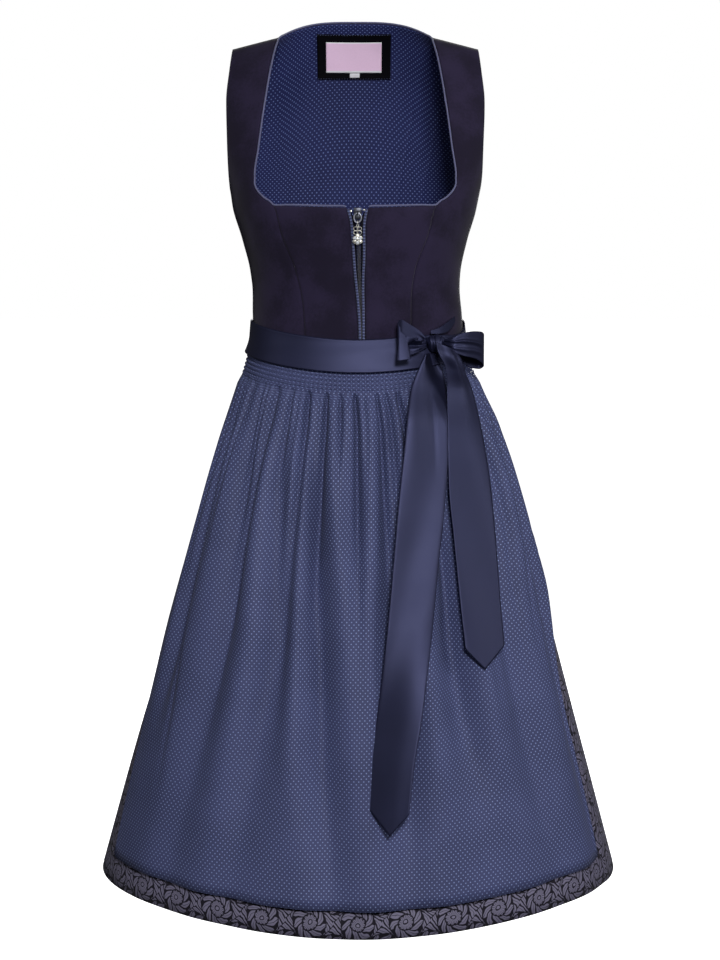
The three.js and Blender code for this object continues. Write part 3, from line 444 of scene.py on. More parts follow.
# The largest folds: the sine of a fold's angle at the waist, halfway and at the hem, the shares
# of the fall between which it runs, and its width and depth.
FRONT_FOLDS = table("waist middle hem start end width depth", [
    [-0.92, -0.9, -0.86, 0.04, 0.75, 13, 4],
    [-0.75, -0.66, -0.69, 0.04, 1.1, 15, 5],
    [-0.57, -0.4, -0.46, 0.03, 1.2, 14, 5],
    [-0.35, -0.21, -0.07, 0.03, 1.1, 12, 7],
    [-0.07, -0.01, 0.02, 0.04, 0.45, 12, 4],
    [0.14, 0.17, 0.2, 0.04, 1.1, 13, 6],
    [0.32, 0.25, 0.2, 0.03, 0.35, 8, 5],
    [0.58, 0.42, 0.52, 0.04, 0.85, 13, 6],
    [0.82, 0.7, 0.72, 0.05, 1.2, 15, 5],
    [0.95, 0.94, 0.9, 0.1, 1.2, 14, 5],
])
BACK_FOLDS = table("waist middle hem start end width depth", [
    [-0.9, -0.88, -0.86, 0.05, 1.2, 15, 7],
    [-0.72, -0.66, -0.68, 0.03, 1.2, 14, 9],
    [-0.5, -0.44, -0.42, 0.03, 1.2, 15, 8],
    [-0.28, -0.25, -0.2, 0.03, 1.2, 14, 10],
    [-0.08, -0.02, 0.03, 0.03, 0.7, 12, 7],
    [0.14, 0.16, 0.2, 0.03, 1.2, 15, 9],
    [0.36, 0.4, 0.38, 0.03, 1.2, 14, 8],
    [0.6, 0.58, 0.6, 0.04, 0.9, 14, 9],
    [0.8, 0.78, 0.8, 0.04, 1.2, 15, 7],
])

# Distances on the form, in millimetres.
SEAM_GAP = 0.02
SIDE_RADIUS = 140
WAIST_SIDE_DROP = 347
WAIST_FRONT_DIP = 20
WAIST_LEVEL = 360
SKIRT_FALL = 645
HEM_DROP = 1011
HEM_RISE = 25
UNDERARM = 176
SHOULDER_INNER = 91
NECK_HEIGHT = 23.4
NAPE_RISE = 42
APRON_HEM_SHARE = 0.951
SASH_WIDTH = 38
ZIP_TOP = 199.0
ZIP_END = 361
SLIDER_TOP = 198.5
LOOP_DROP = SLIDER_TOP + 6
APRON_REACH = 99
QUARTER = math.pi / 2
SIDES = {"left": 1, "right": -1}


def ease(x, low, high):
    t = np.clip((x - low) / (high - low), 0, 1)
    return t * t * (3 - 2 * t)


def between(low, high, share):
    return low + (high - low) * share


def bell(distance, width):
    """1 where the distance is 0, and about 0 beyond twice the width."""
    return np.exp(-((distance / width) ** 2))


def to_edge(share):
    """How far a share from 0 to 1 lies from the nearer end."""
    return np.minimum(share, 1 - share)


def unit(vectors):
    return vectors / np.linalg.norm(vectors, axis=-1, keepdims=True)


HALVINGS = 36


def halve(shape, low, high, short):
    """Where short(value) stops being true between low and high, found by halving."""
    low, high = np.full(shape, low, float), np.full(shape, high, float)
    for _ in range(HALVINGS):
        middle = (low + high) / 2
        more = short(middle)
        low, high = np.where(more, middle, low), np.where(more, high, middle)
    return low


def curve(rows, along, column):
    """A smooth curve through one column of a table, read against another, without overshoot."""
    xs, ys = rows[along], rows[column]
    slopes = np.diff(ys) / np.diff(xs)
    before, after = slopes[:-1], slopes[1:]
    same = before * after > 0
    middle = np.where(same, 2 * before * after / np.where(same, before + after, 1), 0)
    tangents = np.concatenate([slopes[:1], middle, slopes[-1:]])

    def read(x):
        i = np.clip(np.searchsorted(xs, x) - 1, 0, len(xs) - 2)
        width = xs[i + 1] - xs[i]
        t = np.clip((x - xs[i]) / width, 0, 1)
        rise = t * (1 - t) ** 2 * tangents[i] - t * t * (1 - t) * tangents[i + 1]
        return ys[i] + (ys[i + 1] - ys[i]) * t * t * (3 - 2 * t) + width * rise

    return read


half_at, front_at, back_at, square_at, shift_at = (
    curve(FORM, "drop", column) for column in ("half", "front", "back", "square", "shift")
)
front_seam_x = curve(FRONT_SEAM, "drop", "x")
armhole_x = curve(ARMHOLE, "drop", "x")
back_seam_x = curve(BACK_SEAM, "drop", "x")
zip_centre = curve(ZIP, "drop", "centre")
zip_gap = curve(ZIP, "drop", "gap")
apron_right = curve(APRON_EDGES, "drop", "right")
apron_left = curve(APRON_EDGES, "drop", "left")


# ---- The dress's form, in millimetres ----
def lift(x, at_back):
    """How far the shoulders' top rises at a distance from the middle, with the nape behind."""
    slope = 3 - 0.27 * (np.hypot(x, 40) - 93)
    nape = NAPE_RISE * np.maximum(0, 1 - np.abs(x / SHOULDER_INNER) ** 3) ** 1.2
    return slope + np.where(at_back, nape, 0)


def hold(drop):
    """How much of the shoulders' rise is left at a drop."""
    return 1 - ease(drop, 60, 200)


def outward(angle, drop):
    """The level direction out of the form. Angle 0 faces front, a positive one turns left."""
    depth = np.where(np.cos(angle) > 0, front_at(drop), back_at(drop))
    depth = np.maximum(depth, 1e-6)
    return unit(np.stack([np.sin(angle) / half_at(drop), -np.cos(angle) / depth, 0 * angle], -1))


def form(angle, drop, out=0.0):
    """Points on the form, moved out by a distance."""
    angle, drop, out = np.broadcast_arrays(angle, np.asarray(drop, float), out)
    angle = np.where(drop < 0, np.sign(angle) * np.pi - angle, angle)
    drop = np.abs(drop)
    at_back = np.cos(angle) < 0
    depth = np.where(at_back, back_at(drop), front_at(drop))
    square = 1 + square_at(drop) * np.sin(2 * angle) ** 2
    x = half_at(drop) * np.sin(angle) * square
    y = -depth * np.cos(angle) * square
    place = np.stack([x + shift_at(drop), y, lift(x, at_back) * hold(drop) - drop], -1)
    return place + outward(angle, drop) * out[..., None]


def angle_at(x, drop, at_back=False):
    """The angle at which the form reaches a distance x from its centre line."""
    x, drop = np.broadcast_arrays(np.asarray(x, float), np.asarray(drop, float))

    def short(angle):
        reach = half_at(drop) * np.sin(angle) * (1 + square_at(drop) * np.sin(2 * angle) ** 2)
        return reach < np.abs(x)

    angle = halve(x.shape, 0, QUARTER, short)
    return np.sign(x) * (np.pi - angle if at_back else angle)


def waist_drop(angle):
    """The drop of the waist seam, which dips in front."""
    return WAIST_SIDE_DROP + WAIST_FRONT_DIP * np.maximum(0, np.cos(angle)) ** 2


def level_drop(level, angle):
    """A bodice level's drop: its lowest part bends to follow the waist seam."""
    bend = np.clip((level - 300) / 60, 0, 1)
    return level + (waist_drop(angle) - SEAM_GAP - WAIST_LEVEL) * bend


def back_drop_at(x, z):
    """The drop at which the back lies at a height z."""

    def above(drop):
        return lift(x, True) * hold(drop) - drop > z

    return halve(np.shape(x), 0, 200, above)


def back_neck_drop(x):
    """The drop of the neck's edge at the back, between the straps."""
    share = np.abs(x) / SHOULDER_INNER
    strap = lift(SHOULDER_INNER, True)
    inside = back_drop_at(x, NECK_HEIGHT - (NECK_HEIGHT - strap) * np.minimum(share, 1) ** 3.2)
    return np.where(share >= 1, 0, inside)


# ---- Making pieces ----
def surface(name, at, across, down, facing=1, about="axis", closed=False):
    """A grid of cloth: at(u, v) gives its points in millimetres, u across and v down from 0 to 1.

    Its cut coordinates are metres along the cloth, from its middle line and from its top.
    """
    work = bmesh.new()
    layer = work.loops.layers.uv.new("cut")
    bmesh.ops.create_grid(work, x_segments=across, y_segments=down, size=0.5)
    work.verts.index_update()
    flat = np.array([vert.co for vert in work.verts])
    reach = flat.max(0)[:2]
    u, v = (flat[:, 0] / reach[0] + 1) / 2, (flat[:, 1] / reach[1] + 1) / 2
    points = np.asarray(at(u, v)) * MM
    for vert, point in zip(work.verts, points):
        vert.co = point
    column, row = np.rint(u * across).astype(int), np.rint(v * down).astype(int)
    net = np.zeros((down + 1, across + 1, 3))
    net[row, column] = points
    steps = np.linalg.norm(np.diff(net, axis=1), axis=2)
    along = np.concatenate([np.zeros((down + 1, 1)), np.cumsum(steps, axis=1)], axis=1)
    along -= along[:, [across // 2]]
    fall = np.linalg.norm(np.diff(net, axis=0), axis=2).mean(1)
    depth = np.concatenate([[0], np.cumsum(fall)])
    cut = np.stack([along[row, column], depth[row]], -1)
    for face in work.faces:
        face.smooth = True
        for loop in face.loops:
            loop[layer].uv = cut[loop.vert.index]
    if closed:
        bmesh.ops.remove_doubles(work, verts=work.verts, dist=1e-6)
        bmesh.ops.recalc_face_normals(work, faces=work.faces)
    # The faces point away from the dress's upright axis, or from the piece's own middle.
    work.normal_update()
    middle = Vector(points.mean(0)) if about == "middle" else Vector()
    total = 0.0
    for face in work.faces:
        away = face.calc_center_median() - middle
        if about == "axis":
            away.z = 0
        total += face.normal.dot(away) * face.calc_area()
    if total * facing < 0:
        bmesh.ops.reverse_faces(work, faces=work.faces)
    return piece(name, work)


def piece(name, work, smooth=None):
    """Makes an object of a bmesh."""
    if smooth is not None:
        for face in work.faces:
            face.smooth = smooth
    mesh = bpy.data.meshes.new(name)
    work.to_mesh(mesh)
    work.free()
    made = bpy.data.objects.new(name, mesh)
    bpy.context.scene.collection.objects.link(made)
    return made


def settle(made, materials, slot, body="dress", replaces=()):
    """Gives a piece its materials and its body, and hides the CAD nodes that it replaces. The slot, which
    the materials stand for, is not used.
    """
    for material in materials if isinstance(materials, list) else [materials]:
        made.data.materials.append(material)
    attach(made, body)
    if replaces:
        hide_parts(*([replaces] if isinstance(replaces, str) else replaces))
    return made


def cloth_piece(name, grid, thickness, materials, slot, replaces, **how):
    """A piece of cloth in a CAD node's place; grid is its points, columns and rows.

    It gets its thickness inwards, and a second material is that of its inner face.
    """
    made = surface(name, *grid, **how)
    solid = made.modifiers.new("Cloth", "SOLIDIFY")
    solid.thickness = thickness
    solid.offset = -1
    solid.material_offset = 1 if isinstance(materials, list) else 0
    return settle(made, materials, slot, replaces=replaces)


def smooth_path(points, step):
    """Points a step apart on a smooth curve through the given ones."""
    points = np.asarray(points, float)
    path = [points[0]]
    padded = np.concatenate([[2 * points[0] - points[1]], points, [2 * points[-1] - points[-2]]])
    for a, b, c, d in zip(padded, padded[1:], padded[2:], padded[3:]):
        ta, tb, tc = (max(np.linalg.norm(q - p), 1e-6) ** 0.5 for p, q in ((a, b), (b, c), (c, d)))
        leave = ((b - a) / ta - (c - a) / (ta + tb) + (c - b) / tb) * tb
        arrive = ((c - b) / tb - (d - b) / (tb + tc) + (d - c) / tc) * tb
        t = np.linspace(0, 1, 13)[1:, None]
        path.extend(
            (2 * t**3 - 3 * t**2 + 1) * b + (t**3 - 2 * t**2 + t) * leave
            + (3 * t**2 - 2 * t**3) * c + (t**3 - t**2) * arrive
        )
    path = np.array(path)
    run = np.concatenate([[0], np.cumsum(np.linalg.norm(np.diff(path, axis=0), axis=1))])
    at = np.linspace(0, run[-1], max(2, round(run[-1] / step)) + 1)
    return np.stack([np.interp(at, run, path[:, k]) for k in range(3)], axis=1)


def across_path(path):
    """Two directions across a path at each of its points, without twist."""
    way = unit(np.gradient(path, axis=0))
    side = np.cross(way[0], [0.3, 0.2, 1.0])
    sides = []
    for direction in way:
        side = side - direction * (side @ direction)
        side /= np.linalg.norm(side)
        sides.append(side)
    sides = np.array(sides)
    return sides, np.cross(way, sides)


def tube(name, path, radius, around):
    """A round tube along a path, closed at both ends."""
    side, up = across_path(path)
    last = len(path) - 1
    radii = np.full(last + 1, radius, float)
    radii[[0, -1]] = 0
    path = path.copy()
    path[0], path[-1] = path[1], path[-2]

    def at(u, v):
        row = np.rint(v * last).astype(int)
        turn = 2 * np.pi * u
        ring = np.cos(turn)[:, None] * side[row] + np.sin(turn)[:, None] * up[row]
        return path[row] + ring * radii[row][:, None]

    return surface(name, at, around, last, about="middle", closed=True)


def stitches(name, runs, size, thickness):
    """Short rounded stitches. Each run is a list of points and directions in millimetres."""
    whole = bmesh.new()
    scale = Matrix.Diagonal((size * MM / 2, thickness * MM, thickness * MM, 1))
    # An operator slows down in a large mesh, so they are made a few at a time.
    few_at_once = 25
    for first in range(0, len(runs), few_at_once):
        work = bmesh.new()
        for point, way in runs[first:first + few_at_once]:
            turn = Vector(way).to_track_quat("X", "Z").to_matrix().to_4x4()
            place = Matrix.Translation(Vector(point) * MM) @ turn @ scale
            bmesh.ops.create_uvsphere(work, u_segments=6, v_segments=4, radius=1, matrix=place)
        few = bpy.data.meshes.new(name)
        work.to_mesh(few)
        work.free()
        whole.from_mesh(few)
        bpy.data.meshes.remove(few)
    return piece(name, whole, smooth=True)


class DirndlMaker:
    """What the operators that make pieces share."""

    bl_options = {"REGISTER", "UNDO"}

    @property
    def sizes(self):
        return bpy.context.scene.dirndl_sizes

    @property
    def colours(self):
        return {
            name: tuple(getattr(bpy.context.scene.dirndl_colours, name))
            for name in DirndlColours.__annotations__
        }

    def shared(self, name):
        """One of the materials that several pieces use, made on its first use."""
        c = self.colours
        make, *values = {
            "brushed_bodice": (brushed_cloth, c["bodice"]),
            "dotted_lining": (pin_dots, c["lining"], c["lining_dot"], self.sizes, 0.6),
            "dotted_apron": (pin_dots, c["apron"], c["apron_dot"], self.sizes, 0.5),
            "bow_satin": (satin_cloth, c["satin"]),
            "sewing_thread": (thread, c["thread"]),
            "bright_silver": (metal, c["silver"], 0.22, 0.7),
            "dark_steel": (metal, c["steel"], 0.3, 0.5),
            "grey_steel": (metal, c["ring"], 0.3, 0.5),
        }[name]
        return bpy.data.materials.get(name) or make(name, *values)


# ---- Bodice ----
def edge_angle(level, x_at):
    """The angle at which an edge, given by its distance from the centre line, crosses a level."""
    angle = np.zeros(np.shape(level))
    for _ in range(6):
        drop = level_drop(level, angle)
        angle = angle_at(x_at(drop), drop)
    return angle


def rolled(u, v, width, height, top=False):
    """How far cloth rolls in at its seams, and at its top edge."""
    edge = to_edge(u) * width
    if top:
        edge = np.minimum((1 - v) * height, edge)
    return -0.85 * bell(edge, 1.5)


def back_place(x, level):
    """The angle and drop of the back at a distance from its middle, below the neck's edge."""
    neck = back_neck_drop(x) * (1 - ease(level, 0, 150))
    angle = angle_at(x, level_drop(level, math.pi) + neck, True)
    angle = np.where(angle == 0, np.pi, angle)
    return angle, level_drop(level, angle) + neck


def drag(angle, drop):
    """Slight unevenness of the fitted cloth, with faint drag lines from the side to the waist."""
    broad = 0.5 * np.sin(angle * 5 + drop / 31) * np.sin(drop / 47 + 1)
    fine = 0.22 * np.sin(angle * 9 - drop / 13 + 2) * ease(drop, 190, 260)
    return (broad + fine) * ease(drop, 10, 80)


class DirndlBodice(DirndlMaker, bpy.types.Operator):
    """Make the bodice's seven panels"""

    bl_idname = "dirndl.bodice"
    bl_label = "Bodice"

    def execute(self, context):
        cloths = [self.shared("brushed_bodice"), self.shared("dotted_lining")]
        finish = (self.sizes.bodice_cloth, cloths, "bodice_cloth")
        for word, sign in SIDES.items():

            def seam(level, gap, sign=sign):
                return edge_angle(level, lambda drop: sign * (front_seam_x(drop) + gap))

            def front(u, v, sign=sign):
                level = between(WAIST_LEVEL, 196, v)
                dip = 2.5 * np.clip((222 - level) / 26, 0, 1)

                def beside_zip(drop):
                    return zip_centre(drop) + sign * (zip_gap(drop) + 1.8)

                inner = edge_angle(level + dip, beside_zip)
                angle = between(inner, seam(level, -SEAM_GAP), u)
                drop = level_drop(level, angle) + dip * (1 - u)
                return form(angle, drop, drag(angle, drop) + rolled(u, v, 76, 160, top=True))

            def side_front(u, v, sign=sign):
                level = np.interp(v, [0, 0.3, 0.62, 1], [WAIST_LEVEL, 205, 164, 0])
                side = np.where(level >= UNDERARM, QUARTER, angle_at(armhole_x(level), level))
                angle = between(seam(level, SEAM_GAP), sign * (side - SEAM_GAP / SIDE_RADIUS), u)
                drop = level_drop(level, angle)
                point = form(angle, drop, drag(angle, drop) + rolled(u, v, 60, 380))
                point[:, 1] -= SEAM_GAP * (1 - ease(level, 0, 20))
                return point

            def side_back(u, v, sign=sign):
                level = np.interp(v, [0, 0.6, 1], [WAIST_LEVEL, UNDERARM, 118])
                drop = level_drop(level, math.pi)
                inner = angle_at(back_seam_x(drop) + SEAM_GAP, drop, True)
                side = np.where(level >= UNDERARM, QUARTER, angle_at(armhole_x(drop), drop, True))
                angle = sign * between(side + SEAM_GAP / SIDE_RADIUS, inner, u)
                fall = level_drop(level, angle)
                return form(angle, fall, drag(angle, fall) + rolled(u, v, 80, 240))

            for name, at, columns, rows, flat in (
                ("front", front, 40, 60, (0.090, 0.175, 0.0115)),
                ("side_front", side_front, 30, 130, (0.13, 0.39, 0.0320)),
                ("side_back", side_back, 40, 80, (0.14, 0.25, 0.0270)),
            ):
                node = f"bodice_{name}_{word}"
                panel = cloth_piece(f"{node}_cloth", (at, columns, rows), *finish, node)

        def back(u, v):
            level = np.interp(v, [0, 0.4, 0.75, 1], [WAIST_LEVEL, UNDERARM, 60, 0])
            # The columns lie closer together where the straps leave the neck.
            spread = np.interp(u, [0, 0.18, 0.3, 0.7, 0.82, 1], [0, 0.18, 0.26, 0.74, 0.82, 1])
            reach = back_seam_x(level_drop(level, math.pi)) - SEAM_GAP
            angle, drop = back_place(between(-1, 1, spread) * reach, level)
            point = form(angle, drop, drag(angle, drop) + rolled(u, v, 150, 380))
            point[:, 1] += SEAM_GAP * (1 - ease(level, 0, 20))
            return point

        panel = cloth_piece("bodice_back_cloth", (back, 120, 120), *finish, "bodice_back")
        return {"FINISHED"}


# ---- Lining and labels ----
# How far below the bodice's face its lining lies, and how high the lining's seams stand.
BODICE_WALL = 2.2
SEAM_RIDGE = 0.9
# The lining's seams: heights, and how far across the seam lies at each, in millimetres.
LINING_SEAMS = {
    "outer right": ([-175, -143, -95, -53, 0], [-82, -88.7, -97, -99.2, -100]),
    "inner right": ([-200, -181, -149, -127, -90], [-38, -43.8, -49.8, -55.8, -64]),
    "inner left": ([-200, -186, -159, -125, -89], [45, 48.7, 52.3, 58.3, 65.4]),
    "outer left": ([-200, -167, -125, -77, 0], [74, 80.2, 89.8, 99.3, 100]),
}


class DirndlLining(DirndlMaker, bpy.types.Operator):
    """Make the dotted lining of the back, and its plain labels"""

    bl_idname = "dirndl.lining"
    bl_label = "Lining and labels"

    def execute(self, context):
        def lining(u, v):
            level = np.interp(v, [0, 0.35, 0.8, 1], [358, 176, 40, 2])
            flat = level_drop(level, math.pi)
            reach = np.where(level >= UNDERARM, half_at(flat), armhole_x(flat))
            x = between(-1, 1, u) * (reach - 0.4)
            angle, drop = back_place(x, level)
            inset = BODICE_WALL + 1.9 * ease(level, 3, 60) + SEAM_RIDGE
            across, _, height = form(angle, drop, -inset).T
            for heights, places in LINING_SEAMS.values():
                foot, head = heights[0], heights[-1]
                reached = ease(height, foot - 140, foot) * (1 - ease(height, head, head + 30))
                seam = np.interp(height, heights, places)
                inset = inset - SEAM_RIDGE * bell(across - seam, 1.1) * reached
            soft = 0.7 * np.sin(x / 19 + drop / 60) * np.sin(drop / 55) * ease(level, 30, 90)
            return form(angle, drop, -inset - np.maximum(soft, -0.5))

        made = cloth_piece(
            "lining_back_cloth", (lining, 210, 120), self.sizes.lining_cloth,
            self.shared("dotted_lining"), "lining_cloth", "lining_back", facing=-1,
        )

        c = self.colours
        white = c["label_white"]
        labels = (
            ("label_backing", "label_patch", -49.5, 40, 10, -42, 6.5, 0.8, "label_black",
             ribbed_tape("patch", c["label_black"], 2600)),
            ("label", "label_woven", -39, 29, 1, -34, 8.0, 0.6, "label_pink",
             ribbed_tape("label", c["label_pink"], 5200, white, (0.070, 0.0355))),
            ("size_tab", "label_tab", -10, 2, -34.5, -39.5, 8.0, 0.6, "label_white",
             ribbed_tape("tab", white, 5200)),
        )
        for node, name, left, right, top, bottom, inset, thick, slot, material in labels:

            def patch(u, v, left=left, right=right, top=top, bottom=bottom, inset=inset, thick=thick):
                x = between(left, right, u) - shift_at(0.0)
                drop = back_drop_at(x, between(top, bottom, v))
                edge = np.minimum(to_edge(u) * (right - left), to_edge(v) * (top - bottom))
                inset = inset + thick - 0.35 * bell(edge, 0.8)
                ripple = 0.15 * np.sin(x / 6 + 1) * np.sin(v * 5)
                return form(angle_at(x, drop, True), drop, -inset - ripple)

            label = cloth_piece(name, (patch, 60, 36), thick * MM, material, slot, node, facing=-1)
            flat = ((right - left) * MM, (top - bottom) * MM)
            # The least length of a sheet is 10 mm, so the tab is given with its fold behind it.
            whole = (flat[0], max(flat[1], 0.01))
            flat[0] * flat[1]

        hem = []
        for height in (9, -41):
            x = np.linspace(-48.5, 39, 40) - shift_at(0.0)
            drop = back_drop_at(x, np.full(40, height, float))
            even = smooth_path(form(angle_at(x, drop, True), drop, -7.6), 3.2)
            hem += list(zip(even, np.gradient(even, axis=0)))
        row = stitches("label_stitches", hem, self.sizes.stitch / MM, 0.16)
        settle(row, self.shared("sewing_thread"), "label_black")
        return {"FINISHED"}


# ---- Piping ----
def neck_half(sign):
    """Half of the neck edge, from the centre front to the nape, as angles and drops."""
    corner = float(sign * zip_centre(ZIP_TOP) + zip_gap(ZIP_TOP) + 1.6)
    xs = np.array([corner, corner + 3, 30, 45, 60, 75])
    across = between(198.5, 196, xs / 93)
    across[0] += 1.2
    down = np.array([196, 192, 188, 184, 180, 176, 171, 165, 156, 145, 130, 112, 92, 70, 50, 34, 20, 10, 4])
    behind = np.array([90.4, 88.5, 85.5, 80, 72, 60, 45, 30, 15])
    neck = np.maximum(back_neck_drop(behind), 0.4)
    angles = np.concatenate([
        angle_at(sign * xs, across),
        angle_at(sign * front_seam_x(down), down),
        [sign * (angle_at(SHOULDER_INNER, 0.3) + 0.004)],
        angle_at(sign * behind, neck, True),
    ])
    return angles, np.concatenate([across, down, [0.3], neck])


def beside_edge(angles, drops, clear, inset):
    """Places just outside a cloth's edge, an inset below its face."""
    points = form(angles, drops)
    ahead = np.minimum(np.arange(len(points)) + 1, len(points) - 1)
    behind = np.maximum(np.arange(len(points)) - 1, 0)
    along = unit(points[ahead] - points[behind])
    across = form(angles + 1e-3, drops) - form(angles - 1e-3, drops)
    down = form(angles, drops + 0.3) - form(angles, np.maximum(0, drops - 0.3))
    normal = unit(-np.cross(across, down))
    return points - normal * inset + unit(np.cross(along, normal)) * clear


class DirndlPiping(DirndlMaker, bpy.types.Operator):
    """Make the piping round the neck and beside the zip"""

    bl_idname = "dirndl.piping"
    bl_label = "Piping"

    def execute(self, context):
        c = self.colours
        radius = self.sizes.neck_piping / MM
        right, left = neck_half(-1), neck_half(1)
        angles = np.concatenate([right[0], [np.pi], left[0][::-1]])
        drops = np.concatenate([right[1], [back_neck_drop(np.array(0.0))], left[1][::-1]])
        path = smooth_path(beside_edge(angles, drops, radius + 0.35, 0.9), 1.6)
        neck = tube("neck_piping_cloth", path, radius, 10)
        settle(neck, twisted_cloth("neck_piping", c["piping"]), "piping", replaces="neck_piping")
        dotted = dotted_bias("zip_piping", c["zip_piping"], c["apron_dot"])
        for word, sign in SIDES.items():
            drop = np.array([198.4, 204, 211, 218, 230, 245, 260, 275, 291, 310, 328, 346, ZIP_END])
            angle = angle_at(zip_centre(drop) + sign * zip_gap(drop), drop)
            path = smooth_path(form(angle, drop, -0.7), 1.5)
            made = tube(f"zip_piping_{word}_cloth", path, self.sizes.zip_piping / MM, 12)
            settle(made, dotted, "piping", replaces=f"zip_piping_{word}")
        return {"FINISHED"}


# ---- Zip ----
def block(work, middle, size, bevel, turn=0.0):
    """A rounded block in millimetres."""
    made = bmesh.ops.create_cube(work, size=1)["verts"]
    place = Matrix.Translation(Vector(middle) * MM) @ Matrix.Rotation(turn, 4, "Y")
    bmesh.ops.transform(work, matrix=place @ Matrix.Diagonal((*(s * MM for s in size), 1)), verts=made)
    edges = list({edge for vert in made for edge in vert.link_edges})
    bmesh.ops.bevel(
        work, geom=edges, offset=bevel * MM, affect="EDGES", segments=2, profile=0.5, material=-1
    )


def hoop(work, middle, radii, wire, around, axis="X"):
    """A ring of round wire: a small circle spun about the ring's middle.

    It is turned about X to face the front, or about Y to face the side.
    """
    circle = bmesh.ops.create_circle(work, cap_ends=False, radius=wire * MM, segments=10)["verts"]
    bmesh.ops.rotate(work, cent=(0, 0, 0), matrix=Matrix.Rotation(QUARTER, 3, "X"), verts=circle)
    bmesh.ops.translate(work, vec=(radii[0] * MM, 0, 0), verts=circle)
    edges = list({edge for vert in circle for edge in vert.link_edges})
    made = bmesh.ops.spin(
        work, geom=circle + edges, cent=(0, 0, 0), axis=(0, 0, 1), angle=2 * math.pi, steps=around,
        use_merge=True,
    )["geom_last"]
    reached, queue = set(), [v for v in made if isinstance(v, bmesh.types.BMVert)] + circle
    while queue:
        vert = queue.pop()
        if vert.is_valid and vert not in reached:
            reached.add(vert)
            queue += [edge.other_vert(vert) for edge in vert.link_edges]
    verts = list(reached)
    bmesh.ops.scale(work, vec=(1, radii[1] / radii[0], 1), verts=verts)
    bmesh.ops.rotate(work, cent=(0, 0, 0), matrix=Matrix.Rotation(QUARTER, 3, axis), verts=verts)
    bmesh.ops.translate(work, vec=Vector(middle) * MM, verts=verts)
    bmesh.ops.recalc_face_normals(work, faces=list({f for v in verts for f in v.link_faces}))


def bead(work, middle, radius, flat, segments):
    """A small ball, flattened front to back."""
    scale = Matrix.Diagonal((radius * MM, radius * flat * MM, radius * MM, 1))
    bmesh.ops.create_uvsphere(
        work, u_segments=segments, v_segments=segments // 2 + 1, radius=1,
        matrix=Matrix.Translation(Vector(middle) * MM) @ scale,
    )


def on_circle(middle, turn, across, height=None, forward=0.0):
    """A place in degrees on an upright circle or oval round a middle, moved to the front."""
    way = math.radians(turn)
    x, y, z = middle
    return x + across * math.cos(way), y - forward, z + (height or across) * math.sin(way)


def slider_place():
    """The slider's middle, and the front of its plate, in millimetres."""
    drop = np.array(LOOP_DROP)
    face = form(angle_at(zip_centre(drop), drop), drop)
    return float(face[0]), float(face[1]) + 0.4


class DirndlZip(DirndlMaker, bpy.types.Operator):
    """Make the zip: its tapes, coil, stops, slider and ring"""

    bl_idname = "dirndl.zip"
    bl_label = "Zip"

    def execute(self, context):
        c = self.colours
        tape = ribbed_tape("tape", c["tape"], 3600)
        coil = thread("coil", c["coil"])
        for word, sign in SIDES.items():

            def at(u, v, sign=sign):
                drop = between(203, ZIP_END, v)
                near = sign * (2.3 + 6.2 * (1 - ease(drop, ZIP_TOP, 216)))
                x = zip_centre(drop) + between(near, sign * (zip_gap(drop) + 11), u)
                return form(angle_at(x, drop), drop, -3.1)

            node = f"zip_tape_{word}"
            strip = cloth_piece(f"{node}_cloth", (at, 10, 90), 0.8 * MM, tape, "zip_tape", node)

        pitch = self.sizes.tooth_pitch / MM
        for word, sign in SIDES.items():
            drop = np.arange(211, ZIP_END, pitch / 12)
            turn = 2 * np.pi * (drop / pitch + (0.5 if sign > 0 else 0))
            x = zip_centre(drop) + sign * 0.75 + np.cos(turn) * 1.15
            path = form(angle_at(x, drop), drop, -3.4 + 0.75 * np.sin(turn))
            made = tube(f"zip_coil_{word}", path, 0.3, 5)
            settle(made, coil, "zip_tape", replaces="zip_chain" if sign > 0 else ())

        work = bmesh.new()
        x, y = slider_place()
        for across, back, down, size, bevel, turn in (
            (0, 0.7, 3.4, (9.0, 1.3, 6.8), 0.55, 0),
            (0, 0.7, 9.6, (6.2, 1.3, 6.6), 0.55, 0),
            (0, 2.7, 6.2, (7.6, 0.9, 12.0), 0.4, 0),
            (4.1, 1.7, 4.4, (0.9, 2.4, 7.4), 0.35, -0.06),
            (-4.1, 1.7, 4.4, (0.9, 2.4, 7.4), 0.35, 0.06),
        ):
            block(work, (x + across, y + back, -(SLIDER_TOP + down)), size, bevel, turn)
        hoop(work, (x, y - 1.6, -LOOP_DROP), (2.0, 2.5), 0.55, 28, "Y")
        made = piece("zip_slider_metal", work, smooth=True)
        settle(made, self.shared("dark_steel"), "dark_metal", replaces="zip_slider")

        work = bmesh.new()
        hoop(work, (x, y - 2.0, -LOOP_DROP - 5.4), (4.2, 5.4), 0.75, 48)
        ring = piece("pull_ring_metal", work, smooth=True)
        settle(ring, self.shared("grey_steel"), "dark_metal", body="ring", replaces="pull_ring")

        work = bmesh.new()
        for sign, drop in ((-1, 202.6), (1, 201.2)):
            x = zip_centre(np.array(drop)) + sign * 7.6
            place = form(angle_at(x, np.array(drop)), np.array(drop), -0.4)
            block(work, place, (2.6, 1.6, 2.0), 0.5, sign * 0.6)
        stops = piece("zip_stops", work, smooth=True)
        settle(stops, self.shared("bright_silver"), "silver")
        return {"FINISHED"}


